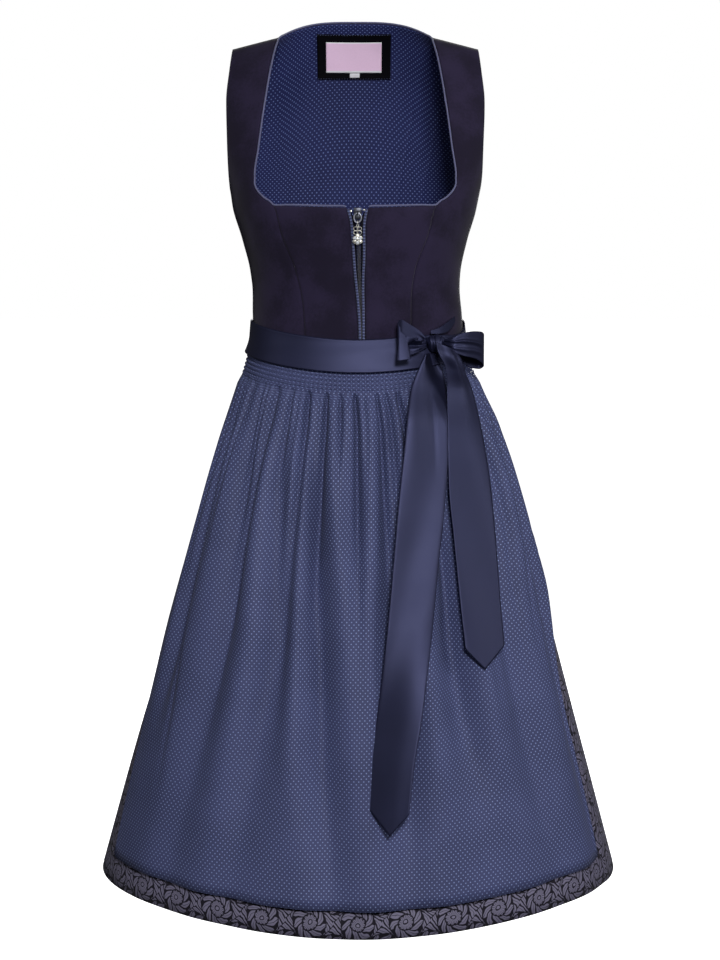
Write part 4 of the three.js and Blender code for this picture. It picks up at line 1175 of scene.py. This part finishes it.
class DirndlCharm(DirndlMaker, bpy.types.Operator):
    """Make the silver charm and its three stones"""

    bl_idname = "dirndl.charm"
    bl_label = "Charm"

    def execute(self, context):
        x, y = slider_place()
        y -= 2.0
        top = -LOOP_DROP - 10.8
        head, flower = (x, y, -224.312), (x, y, -234.524)
        work = bmesh.new()
        hoop(work, (x, y, top), (2.05, 2.05), 0.45, 28, "Y")
        hoop(work, (x, y, top - 3.3), (1.15, 1.5), 0.42, 24)
        # The head is a clover of four oval leaves, each with beads round its outer side.
        for turn in (45, 135, 225, 315):
            leaf = on_circle(head, turn, 3.0, 2.9)
            hoop(work, leaf, (2.3, 2.2), 0.55, 28)
            for beyond in (-72, -36, 0, 36, 72):
                bead(work, on_circle(leaf, turn + beyond, 2.35, 2.25, forward=0.45), 0.42, 0.8, 8)
        bead(work, (x, y - 0.3, head[2]), 1.3, 0.7, 12)
        bead(work, (x, y - 0.2, head[2] - 4.7), 0.9, 0.7, 10)
        # Below it hangs a flower of six petals, with three stones in beaded seats.
        for i in range(6):
            petal = on_circle(flower, 60 * i + 30, 3.7)
            bead(work, petal, 2.35, 0.34, 16)
            hoop(work, petal, (2.15, 2.15), 0.36, 24)
        bead(work, flower, 3.4, 0.24, 20)
        bead(work, (x, y - 0.7, flower[2]), 0.8, 0.8, 10)
        stones = (-90, -210, -330)
        for turn in stones:
            seat = on_circle(flower, turn, 3.3, forward=1.0)
            hoop(work, seat, (2.15, 2.15), 0.34, 24)
            for i in range(8):
                bead(work, on_circle(seat, 45 * i, 2.2, forward=0.25), 0.34, 1, 6)
        made = piece("charm_silver", work, smooth=True)
        settle(made, self.shared("bright_silver"), "silver", body="charm", replaces="charm")

        # The stones' near-white base is painted brightness in place of the light that they reflect.
        clear = cut_stone("stone", self.colours["stone"])
        for number, turn in enumerate(stones, start=1):
            work = bmesh.new()
            bead(work, on_circle(flower, turn, 3.3, forward=1.6), 2.0, 0.62, 9)
            stone = piece(f"charm_stone_{number}_cut", work, smooth=False)
            settle(stone, clear, "stone", body="charm", replaces=f"charm_stone_{number}")
        return {"FINISHED"}


# ---- Skirt and apron ----
def dent(distance, width):
    """A trough with a softer ridge on each side."""
    trough = bell(distance, width)
    ridge = bell(np.abs(distance) - 2.1 * width, 1.1 * width)
    return 0.45 * ridge - trough


def folds_at(angle, fall):
    """The largest folds of the skirt and apron."""
    facing = np.cos(angle) > 0
    half = between(130, 300, fall)
    own = np.where(facing, angle, np.sign(angle) * (np.pi - np.abs(angle)))
    total = 0.0
    for folds, mine in ((FRONT_FOLDS, facing), (BACK_FOLDS, ~facing)):
        for waist, middle, hem, start, end, width, depth in zip(*folds.values()):
            above, below = between(waist, middle, fall * 2), between(middle, hem, fall * 2 - 1)
            place = np.where(fall < 0.5, above, below)
            distance = (own - np.arcsin(place)) * half * 0.85
            fade = between(1, 0.35, ease(fall, 0.4, 1))
            run = ease(fall, start, start + 0.14) * (1 - ease(fall, end - 0.2, end)) * fade
            total = total + mine * depth * run * dent(distance, width * (0.7 + 0.5 * fall))
    return total * (1 - ease(np.abs(own), 1.3, 1.57)) * ease(fall, 0.02, 0.3)


def hem_drop(angle):
    """The drop of the hem, which is longest in front."""
    return HEM_DROP - HEM_RISE * (1 - np.maximum(0, np.cos(angle)) ** 4)


def drop_at_fall(angle, fall):
    """The drop at a share of the way from the waist seam to the hem."""
    return between(waist_drop(angle) + SEAM_GAP, hem_drop(angle), fall)


def random_pleats(seed, count, reach, depth, width, run):
    """Uneven pleats: a place across, a depth, a width in millimetres and where each fades out."""
    draw = np.random.default_rng(seed)
    places = np.linspace(-reach, reach, count) + draw.uniform(-0.36, 0.36, count) * 2 * reach / count
    strength = draw.beta(1.6, 1.8, count)
    return list(zip(
        places,
        between(*depth, strength),
        between(*width, draw.random(count)),
        between(*run, strength * 0.6 + draw.random(count) * 0.4),
        draw.uniform(-0.5, 0.5, count),
    ))


# The deepest pleats of the apron's front, and many small ones between and beside them.
DEEP_PLEATS = table("place depth width end lean", [
    [-84, 5, 2.6, 0.5, 0.1],
    [-74, 6, 2.4, 0.6, 0],
    [-66, 8, 2.6, 0.9, 0.2],
    [-57, 6, 2.0, 0.45, 0],
    [-48, 4, 1.8, 0.35, 0.2],
    [-39.6, 8, 2.4, 0.75, -0.2],
    [-31, 4.5, 1.7, 0.3, 0],
    [-23.7, 9, 2.5, 0.8, 0.5],
    [-15, 7.5, 2.0, 0.6, 0.1],
    [-8.5, 4, 1.6, 0.3, 0],
    [-2, 8, 2.2, 0.6, 0.3],
    [8, 7, 1.9, 0.5, 0],
    [12.5, 6, 1.7, 0.55, 0.2],
    [18, 8.5, 2.1, 0.55, 0],
    [27, 7, 2.1, 0.7, -0.1],
    [36, 8, 2.4, 0.8, 0.3],
    [47, 6, 2.1, 0.5, 0],
    [56, 7, 2.4, 0.7, 0.2],
    [67, 6, 2.1, 0.6, -0.2],
    [77, 7, 2.6, 0.75, 0],
    [87, 4, 2.2, 0.5, 0],
])
APRON_PLEATS = list(zip(*DEEP_PLEATS.values())) + random_pleats(
    11, 46, 97, (0.8, 3.2), (1.4, 2.4), (0.15, 0.5)
)
SKIRT_PLEATS = random_pleats(5, 52, 90, (1.2, 4.0), (1.8, 3.4), (0.14, 0.5))


def pleated(across, fall, radius, pleats, start):
    """How far random pleats dent the cloth; across is in degrees."""
    total = 0.0
    for place, depth, width, end, lean in pleats:
        distance = np.radians(across - place - lean * 8 * fall) * radius
        run = ease(fall, start, start + 0.022) * (1 - ease(fall, end * 0.25, end))
        total = total - depth * run * bell(distance, width * (1 + 3 * fall))
    return total


def skirt_out(angle, fall):
    """How far the skirt lies outside its smooth form; it is gathered behind the apron."""
    behind = ease(-np.cos(angle), 0.18, 0.3)
    facing = np.cos(angle) > 0
    share = np.where(facing, between(0.9, 0.45, ease(fall, 0.9, 0.97)), 1)
    across = np.degrees(angle) - 180
    full = 2.6 * (1 - ease(fall, 0.12, 0.4)) * between(0.4, 1, ease(fall, 0.03, 0.09))
    held = pleated(across, fall, 110 + 120 * fall, SKIRT_PLEATS, 0.0)
    # Under the apron it lies close to the wearer, clear of the apron's pleats.
    close = ease(np.cos(angle), 0.05, 0.4) * ease(fall, 0.02, 0.06)
    low = ease(fall, 0.25, 0.6)
    under = facing * close * (8 * (1 - low) + 4.5 * low * (1 - ease(fall, 0.6, 0.93)))
    return behind * (full + held * 0.9) + share * folds_at(angle, fall) - 0.5 * facing - under


def skirt_half(centre):
    """The grid of one half of the skirt, from side seam to side seam about its centre angle."""

    def at(u, v):
        fall = np.interp(v, [0, 0.3, 1], [0, 0.16, 1])
        gap = SEAM_GAP / front_at(drop_at_fall(QUARTER, fall))
        angle = centre + between(-QUARTER + gap, QUARTER - gap, u)
        return form(angle, drop_at_fall(angle, fall), skirt_out(angle, fall))

    return at


class DirndlSkirt(DirndlMaker, bpy.types.Operator):
    """Make the two halves of the jacquard skirt"""

    bl_idname = "dirndl.skirt"
    bl_label = "Skirt"

    def execute(self, context):
        c = self.colours
        cloth = jacquard("jacquard", c["jacquard_ground"], c["jacquard_leaf"], self.sizes)
        for node, centre, columns, rows in (
            ("skirt_front", 0, 200, 56), ("skirt_back", math.pi, 360, 88),
        ):
            grid = (skirt_half(centre), columns, rows)
            half = cloth_piece(
                f"{node}_cloth", grid, self.sizes.skirt_cloth, cloth, "skirt_cloth", node
            )
        return {"FINISHED"}


def apron_angle(u, fall):
    """The angle of a column of the apron: its middle hangs straight, and its sides draw in."""
    drop = between(WAIST_SIDE_DROP, HEM_DROP, fall)
    across = between(-APRON_REACH, APRON_REACH, u)
    edge = np.where(across < 0, apron_right(drop), apron_left(drop))
    straight = 40
    beyond = np.maximum(0, np.abs(across) - straight) / (APRON_REACH - straight)
    away = np.minimum(np.abs(across), straight) + beyond * (edge - straight)
    return np.radians(np.sign(across) * away)


# The visible rows of shirring start this far below the waist seam.
SHIRRING_TOP = 20.5


def shirring(across, fall, rows, step):
    """The shirred band: tiny puffs between the rows, which are held in."""
    below = fall * SKIRT_FALL
    run = np.radians(across) * 118
    total = 0.0
    for row in range(rows):
        line = SHIRRING_TOP + row * step
        total = total - 1.5 * bell(below - line, 0.8)
        puff = bell(below - line - step / 2, step * 0.36)
        beat = 3.1 + 0.5 * math.sin(row * 2.1)
        uneven = run + 1.3 * np.sin(run / 23 + row) + 0.8 * np.sin(run / 7.0 + row * 1.7)
        total = total + 1.05 * puff * np.abs(np.sin(np.pi * uneven / beat + row * 1.3)) ** 0.8
    return total


def apron_out(u, fall, rows, step):
    """How far the apron lies outside the smooth form."""
    angle = apron_angle(u, fall)
    across = between(-APRON_REACH, APRON_REACH, u)
    facing = np.maximum(0, np.cos(angle)) ** 2
    stand = 1.1 + between(0.5, between(2.6, 5.2, facing), ease(fall, 0.03, 0.2))
    full = between(0.9, 6.0, ease(fall, 0.064, 0.09)) * (1 - ease(fall, 0.25, 0.75))
    held = pleated(across, fall, 112 + 120 * fall, APRON_PLEATS, 0.062) * between(0.75, 1.5, facing)
    large = folds_at(angle, fall) * between(2.0, 2.7, fall) * (1 - 0.4 * ease(fall, 0.7, 0.95))
    return stand + full * between(0.6, 1, facing) + held + large + shirring(across, fall, rows, step)


class DirndlApron(DirndlMaker, bpy.types.Operator):
    """Make the apron, its shirring and the stitches that hold it"""

    bl_idname = "dirndl.apron"
    bl_label = "Apron"

    def execute(self, context):
        rows, step = self.sizes.shirring_rows, self.sizes.shirring_step / MM

        def apron(u, v):
            fall = np.interp(v, [0, 0.05, 0.42, 0.62, 1], [0, 0.029, 0.072, 0.25, APRON_HEM_SHARE])
            # The lower corners are rounded, and the hem and edges are turned.
            corner = np.maximum(0, np.abs(2 * u - 1) - 0.93) / 0.07
            fall = fall - 0.012 * corner**2.5 * ease(fall, 0.8, APRON_HEM_SHARE)
            out = apron_out(u, fall, rows, step)
            edge = np.minimum(to_edge(u) * 560, (APRON_HEM_SHARE - fall) * SKIRT_FALL)
            out = out + 0.35 * (1 - ease(edge, 8.5, 10)) - 0.9 * bell(edge, 1.2)
            angle = apron_angle(u, fall)
            return form(angle, drop_at_fall(angle, fall), out)

        made = cloth_piece(
            "apron_cloth", (apron, 500, 96), self.sizes.apron_cloth,
            self.shared("dotted_apron"), "apron_cloth", "apron",
        )

        runs = []
        for row in range(rows):
            fall = np.full(150, (SHIRRING_TOP + row * step) / SKIRT_FALL)
            share = np.linspace(0.02, 0.98, 150) + 0.0006 * math.sin(row)
            angle = apron_angle(share, fall)
            out = apron_out(share, fall, rows, step) + 0.12
            points = form(angle, drop_at_fall(angle, fall), out)
            runs += list(zip(points, np.gradient(points, axis=0)))
        row = stitches("apron_stitches", runs, self.sizes.stitch / MM * 0.75, 0.32)
        settle(row, self.shared("sewing_thread"), "apron_cloth")
        return {"FINISHED"}


# ---- Sash and bow ----
KNOT = Vector((89, -89.56, -353))


def ribbon(places, bend=None):
    """A ribbon through a table of places: its plan x, distance before the knot, and edges."""
    places = dict(places, at=np.linspace(0, 1, len(places["x"])))
    x, before, top, bottom = (curve(places, "at", name) for name in ("x", "front", "top", "bottom"))

    def at(u, v):
        point = np.stack([x(v), KNOT.y - before(v), between(top(v), bottom(v), u)], -1)
        if bend:
            way = np.stack([x(v + 0.01) - x(v - 0.01), before(v - 0.01) - before(v + 0.01), 0 * v], -1)
            way /= np.maximum(np.linalg.norm(way, axis=1, keepdims=True), 1e-6)
            normal = np.stack([-way[:, 1], way[:, 0], 0 * v], -1)
            point = point + normal * bend(u, v)[:, None]
        return point

    return at


def in_front(x, drop, out):
    """The point at a distance x from the centre plane on the form moved out by a distance."""

    def short(angle):
        return form(angle, drop, out)[..., 0] < x

    return form(halve(np.shape(x), -QUARTER, QUARTER, short), drop, out)


def bow_tail(edges, slant, tip, creases):
    """A tail between its edges, with a slant at its top, a pointed tip and its own creases."""
    left, right, stand = (curve(edges, "drop", name) for name in ("left", "right", "stand"))
    first, last = edges["drop"][0], edges["drop"][-1]

    def at(u, v):
        v = v**1.25
        level = between(first, last, v)
        x = between(left(level), right(level), u)
        point = tip * ease(v, 0.86, 1) * (1 - np.abs(2 * u - 1))
        drop = level + point + slant * u * (1 - ease(v, 0, 0.2))
        out = stand(level) + creases(u, v)
        return in_front(x, drop, out)

    return at


class DirndlSash(DirndlMaker, bpy.types.Operator):
    """Make the satin sash round the waist"""

    bl_idname = "dirndl.sash"
    bl_label = "Sash"

    def execute(self, context):
        def sash(u, v):
            angle = 2 * np.pi * (u - 0.5)
            pinch = 11 * bell(np.degrees(angle) - 64, 22)
            drop = waist_drop(angle) + between(pinch - SASH_WIDTH / 2, SASH_WIDTH / 2, v)
            edge = to_edge(v) * SASH_WIDTH
            soft = 0.5 * np.sin(angle * 3 + v * 4) * np.sin(np.pi * v)
            pull = bell(np.degrees(angle) - 40, 20)
            crease = 0.9 * pull * np.sin(v * 11 - angle * 7) * np.sin(np.pi * v)
            turned = 0.25 * (1 - ease(edge, 2.2, 3.2)) - 0.5 * bell(edge, 0.9)
            return form(angle, drop, between(2.9, 6.8, v) + soft + crease + turned)

        grid, satin = (sash, 420, 26), self.shared("bow_satin")
        made = cloth_piece("sash_satin", grid, self.sizes.satin, satin, "satin", "sash", closed=True)
        return {"FINISHED"}


class DirndlBow(DirndlMaker, bpy.types.Operator):
    """Make the bow: its knot, loops, tails and the sash end that runs up to it"""

    bl_idname = "dirndl.bow"
    bl_label = "Bow"

    def execute(self, context):
        finish = (self.sizes.satin, self.shared("bow_satin"), "satin")

        def near_knot(reach, count, depth):
            """Gathers where the satin goes into the knot."""

            def bend(u, v):
                at_ends = bell(to_edge(v), reach)
                return depth * np.cos(2 * np.pi * count * u + 1) * at_ends * ease(to_edge(v), 0, 0.03)

            return bend

        def left_bend(u, v):
            reach = ease(v, 0.03, 0.12) * (1 - ease(v, 0.34, 0.45))
            crease = -2.6 * bell(u - 0.36 - 0.5 * (v - 0.2), 0.07) * reach
            dimple = -1.8 * bell(u - 0.72, 0.09) * reach
            return near_knot(0.12, 2.5, 1.2)(u, v) + crease + dimple

        def right_bend(u, v):
            """The loop's upper part leans forward over a hollow; its far end is tipped up as a band."""
            lean = 10 * ease(0.42 - u, 0, 0.42) - 4 * bell(u - 0.42, 0.16)
            hollow = lean * ease(v, 0.04, 0.14) * (1 - ease(v, 0.26, 0.32))
            tipped = 8 * (u - 0.4) * ease(v, 0.28, 0.34) * (1 - ease(v, 0.45, 0.54))
            return near_knot(0.1, 2.5, 1.1)(u, v) + hollow + tipped

        loops = {
            "left": (ribbon(table("x front top bottom", [
                [98.3, 2, -349, -358], [110, 11, -345, -363], [122, 6, -340, -367],
                [134, -6, -339, -370], [143, -18, -340, -375], [146.5, -28, -343, -380],
                [141, -34, -343, -384], [130, -28, -342, -382], [116, -16, -344, -372],
                [104, -7, -347, -362], [98.3, -2, -349, -358],
            ]), left_bend), (0.032, 0.125)),
            "right": (ribbon(table("x front top bottom", [
                [79, 3, -348, -357], [69, 12, -349, -362], [59.5, 15, -346, -366],
                [56.5, 25.5, -343, -369], [47.5, 27.5, -336, -371], [45, 22, -329, -371],
                [49, 11, -325, -369], [58, 5, -330, -364], [70, 0.5, -338, -359], [79, -2, -347, -357],
            ]), right_bend), (0.028, 0.106)),
        }
        for word, (at, flat) in loops.items():
            node = f"bow_loop_{word}"
            loop = cloth_piece(f"{node}_satin", (at, 36, 150), *finish, node, about="middle")

        grid = (ribbon(table("x front top bottom", [
            [84, -1.6, -338, -342], [94, -7.7, -335, -342],
            [104, -19.7, -329, -340], [113, -33.7, -323, -330],
        ])), 16, 50)
        wrap = cloth_piece("sash_wrap_satin", grid, *finish, "sash_wrap")

        def knot(u, v):
            across = between(-1, 1, u)
            turn = 2 * np.pi * v
            pinch = 1 - 0.42 * np.abs(across) ** 2.2
            folds = 0.06 * np.sin(across * 9 + 1.2 * np.cos(turn)) + 0.03 * np.sin(across * 19 + turn)
            fat = (pinch + folds) * (1 + 0.05 * np.cos(3 * turn + across * 2))
            x = KNOT.x + 9 * across + 1.5 * np.sin(turn) * across
            return np.stack([x, KNOT.y - 8 * fat * np.cos(turn), KNOT.z + 10 * fat * np.sin(turn)], -1)

        grid = (knot, 60, 96)
        made = cloth_piece("bow_knot_satin", grid, *finish, "bow_knot", about="middle", closed=True)

        def long_creases(u, v):
            top = 1 - ease(v, 0.02, 0.3)
            roll = 3 * np.sin(2 * np.pi * (u + 0.1)) * (1 - ease(v, 0, 0.35))
            # Its left edge folds forward over a deep hollow that closes a little way down.
            valley = -10 * ease(u - 0.1 - 5.2 * v, 0, 0.6) * (1 - ease(v, 0.12, 0.19))
            second = -2.5 * bell(u - 0.5 - 0.9 * v, 0.08) * top * ease(v, 0.06, 0.14)
            soft = 1.4 * np.sin(2 * np.pi * (u * 0.8 + v * 0.9)) * ease(v, 0.1, 0.4)
            edge = to_edge(u) * 45
            clear = 2.5 + 9 * ease(v, 0.03, 0.15)
            turned = 11 * (2 * u - 1) * ease(v, 0.6, 0.85)
            return clear + roll + valley + second + soft + turned - 0.6 * bell(edge, 0.9)

        def short_creases(u, v):
            top = 1 - ease(v, 0.02, 0.28)
            roll = -1.6 * np.sin(2 * np.pi * (u + 0.1)) * (1 - ease(v, 0, 0.35))
            valley = -1.0 * bell(u - 0.8 - 0.3 * v, 0.09) * top
            soft = 1.2 * np.sin(2 * np.pi * (u * 0.7 - v * 1.1) + 1) * ease(v, 0.1, 0.4)
            edge = to_edge(u) * 45
            clear = 2 + 7 * ease(v, 0.15, 0.4)
            return clear + roll + valley + soft - 0.6 * bell(edge, 0.9)

        tails = {
            "long": (bow_tail(table("drop left right stand", [
                [364, 77, 88, 13], [381, 69, 97, 14], [405, 60, 101.5, 13], [472, 52, 102.5, 13],
                [538, 45, 98, 13], [595, 40, 91.5, 12], [679, 32, 83, 12], [763, 22, 72, 12],
                [816, 15, 63, 12], [868, 13, 57, 12],
            ]), 0, 25, long_creases), (0.055, 0.54), 0.0272),
            "short": (bow_tail(table("drop left right stand", [
                [350, 89, 112, 31], [362, 91.5, 119, 34], [381, 100, 124, 30], [405, 102, 132, 23],
                [444, 102, 141, 18], [511, 103, 152, 14], [565, 108, 157, 13], [648, 116, 163, 12.5],
                [693, 121, 167, 12.5],
            ]), 10, 24, short_creases), (0.055, 0.38), 0.0175),
        }
        for word, (at, flat, area) in tails.items():
            node = f"bow_tail_{word}"
            tail = cloth_piece(f"{node}_satin", (at, 44, 190), *finish, node)
        return {"FINISHED"}


# ---- Stage, in metres and watts ----
FLOOR_HEIGHT = -1.27
WORLD_LIGHT = 0.06
# Each light's name, power, size, place, and the height on the dress's axis that it aims at.
LIGHTS = (
    ("key", 70, 0.6, (0.35, -3.0, 0.75), -0.5),
    ("left_fill", 6, 1.2, (-2.4, -1.1, 0.2), -0.6),
    ("right_fill", 20, 1.0, (2.4, -1.1, 0.3), -0.6),
    ("back", 56, 0.9, (0.5, 3.0, 0.15), -0.5),
)
# The camera looks down by its tip in degrees, through a lens of so many millimetres.
CAMERA_PLACE = (0.0024, -2.6, -0.2466)
CAMERA_TIP = 6
CAMERA_LENS = 81.9


class DirndlStage(DirndlMaker, bpy.types.Operator):
    """Make the floor, lights and camera"""

    bl_idname = "dirndl.stage"
    bl_label = "Floor, lights and camera"

    def execute(self, context):
        scene = context.scene
        scene.view_settings.view_transform = "Standard"
        work = bmesh.new()
        bmesh.ops.create_grid(work, x_segments=8, y_segments=8, size=30)
        bmesh.ops.translate(work, vec=(0, 0, FLOOR_HEIGHT), verts=work.verts)
        floor = piece("floor", work)
        pale = Finish("floor_paint", emission_strength=1.1)
        mottle = pale.noise(1.5, 2)
        pale.feed("Emission Color", (1.0, 1.0, 1.0))
        paint = pale.mix(mottle, (0.9, 0.9, 0.91), (0.86, 0.86, 0.87))
        floor.data.materials.append(pale.done(paint, 0.7 + mottle * 0.1))
        # White without lighting the dress from below.
        floor.visible_diffuse = False
        floor.visible_glossy = False

        world = bpy.data.worlds.new("studio")
        world.use_nodes = True
        background = world.node_tree.nodes["Background"]
        background.inputs["Color"].default_value = (1.0, 1.0, 1.0, 1.0)
        # White where the camera sees it, and a weak, soft light elsewhere.
        seen = world.node_tree.nodes.new("ShaderNodeLightPath")
        strength = world.node_tree.nodes.new("ShaderNodeMapRange")
        strength.inputs["To Min"].default_value = WORLD_LIGHT
        world.node_tree.links.new(seen.outputs["Is Camera Ray"], strength.inputs["Value"])
        world.node_tree.links.new(strength.outputs["Result"], background.inputs["Strength"])
        scene.world = world

        for name, power, size, place, aim in LIGHTS:
            light = bpy.data.lights.new(name, "AREA")
            light.energy = power
            light.size = size
            lamp = bpy.data.objects.new(name, light)
            lamp.location = place
            way = Vector((0, 0, aim)) - Vector(place)
            lamp.rotation_euler = way.to_track_quat("-Z", "Y").to_euler()
            scene.collection.objects.link(lamp)

        lens = bpy.data.cameras.new("camera")
        lens.sensor_width = 36
        lens.lens = CAMERA_LENS
        camera = bpy.data.objects.new("camera", lens)
        camera.location = CAMERA_PLACE
        camera.rotation_euler = Euler((math.radians(90 - CAMERA_TIP), 0, 0))
        scene.collection.objects.link(camera)
        scene.camera = camera
        return {"FINISHED"}


class DirndlPanel(bpy.types.Panel):
    """Lists the dirndl's sizes, colours and pieces"""

    bl_idname = "VIEW3D_PT_dirndl"
    bl_label = "Dirndl"
    bl_space_type = "VIEW_3D"
    bl_region_type = "UI"
    bl_category = "Dirndl"

    def draw(self, context):
        for group in (context.scene.dirndl_sizes, context.scene.dirndl_colours):
            for name in group.__annotations__:
                self.layout.prop(group, name)
        for maker in MAKERS:
            self.layout.operator(maker.bl_idname)


MAKERS = (
    DirndlStage,
    DirndlLining,
    DirndlBodice,
    DirndlPiping,
    DirndlZip,
    DirndlCharm,
    DirndlSkirt,
    DirndlApron,
    DirndlSash,
    DirndlBow,
)
CLASSES = (DirndlSizes, DirndlColours, *MAKERS, DirndlPanel)


def register():
    for each in CLASSES:
        bpy.utils.register_class(each)
    bpy.types.Scene.dirndl_sizes = PointerProperty(type=DirndlSizes)
    bpy.types.Scene.dirndl_colours = PointerProperty(type=DirndlColours)


def unregister():
    del bpy.types.Scene.dirndl_colours
    del bpy.types.Scene.dirndl_sizes
    for each in reversed(CLASSES):
        bpy.utils.unregister_class(each)


def main():
    register()
    for maker in MAKERS:
        group, call = maker.bl_idname.split(".")
        getattr(getattr(bpy.ops, group), call)()


if __name__ == "__main__":
    main()
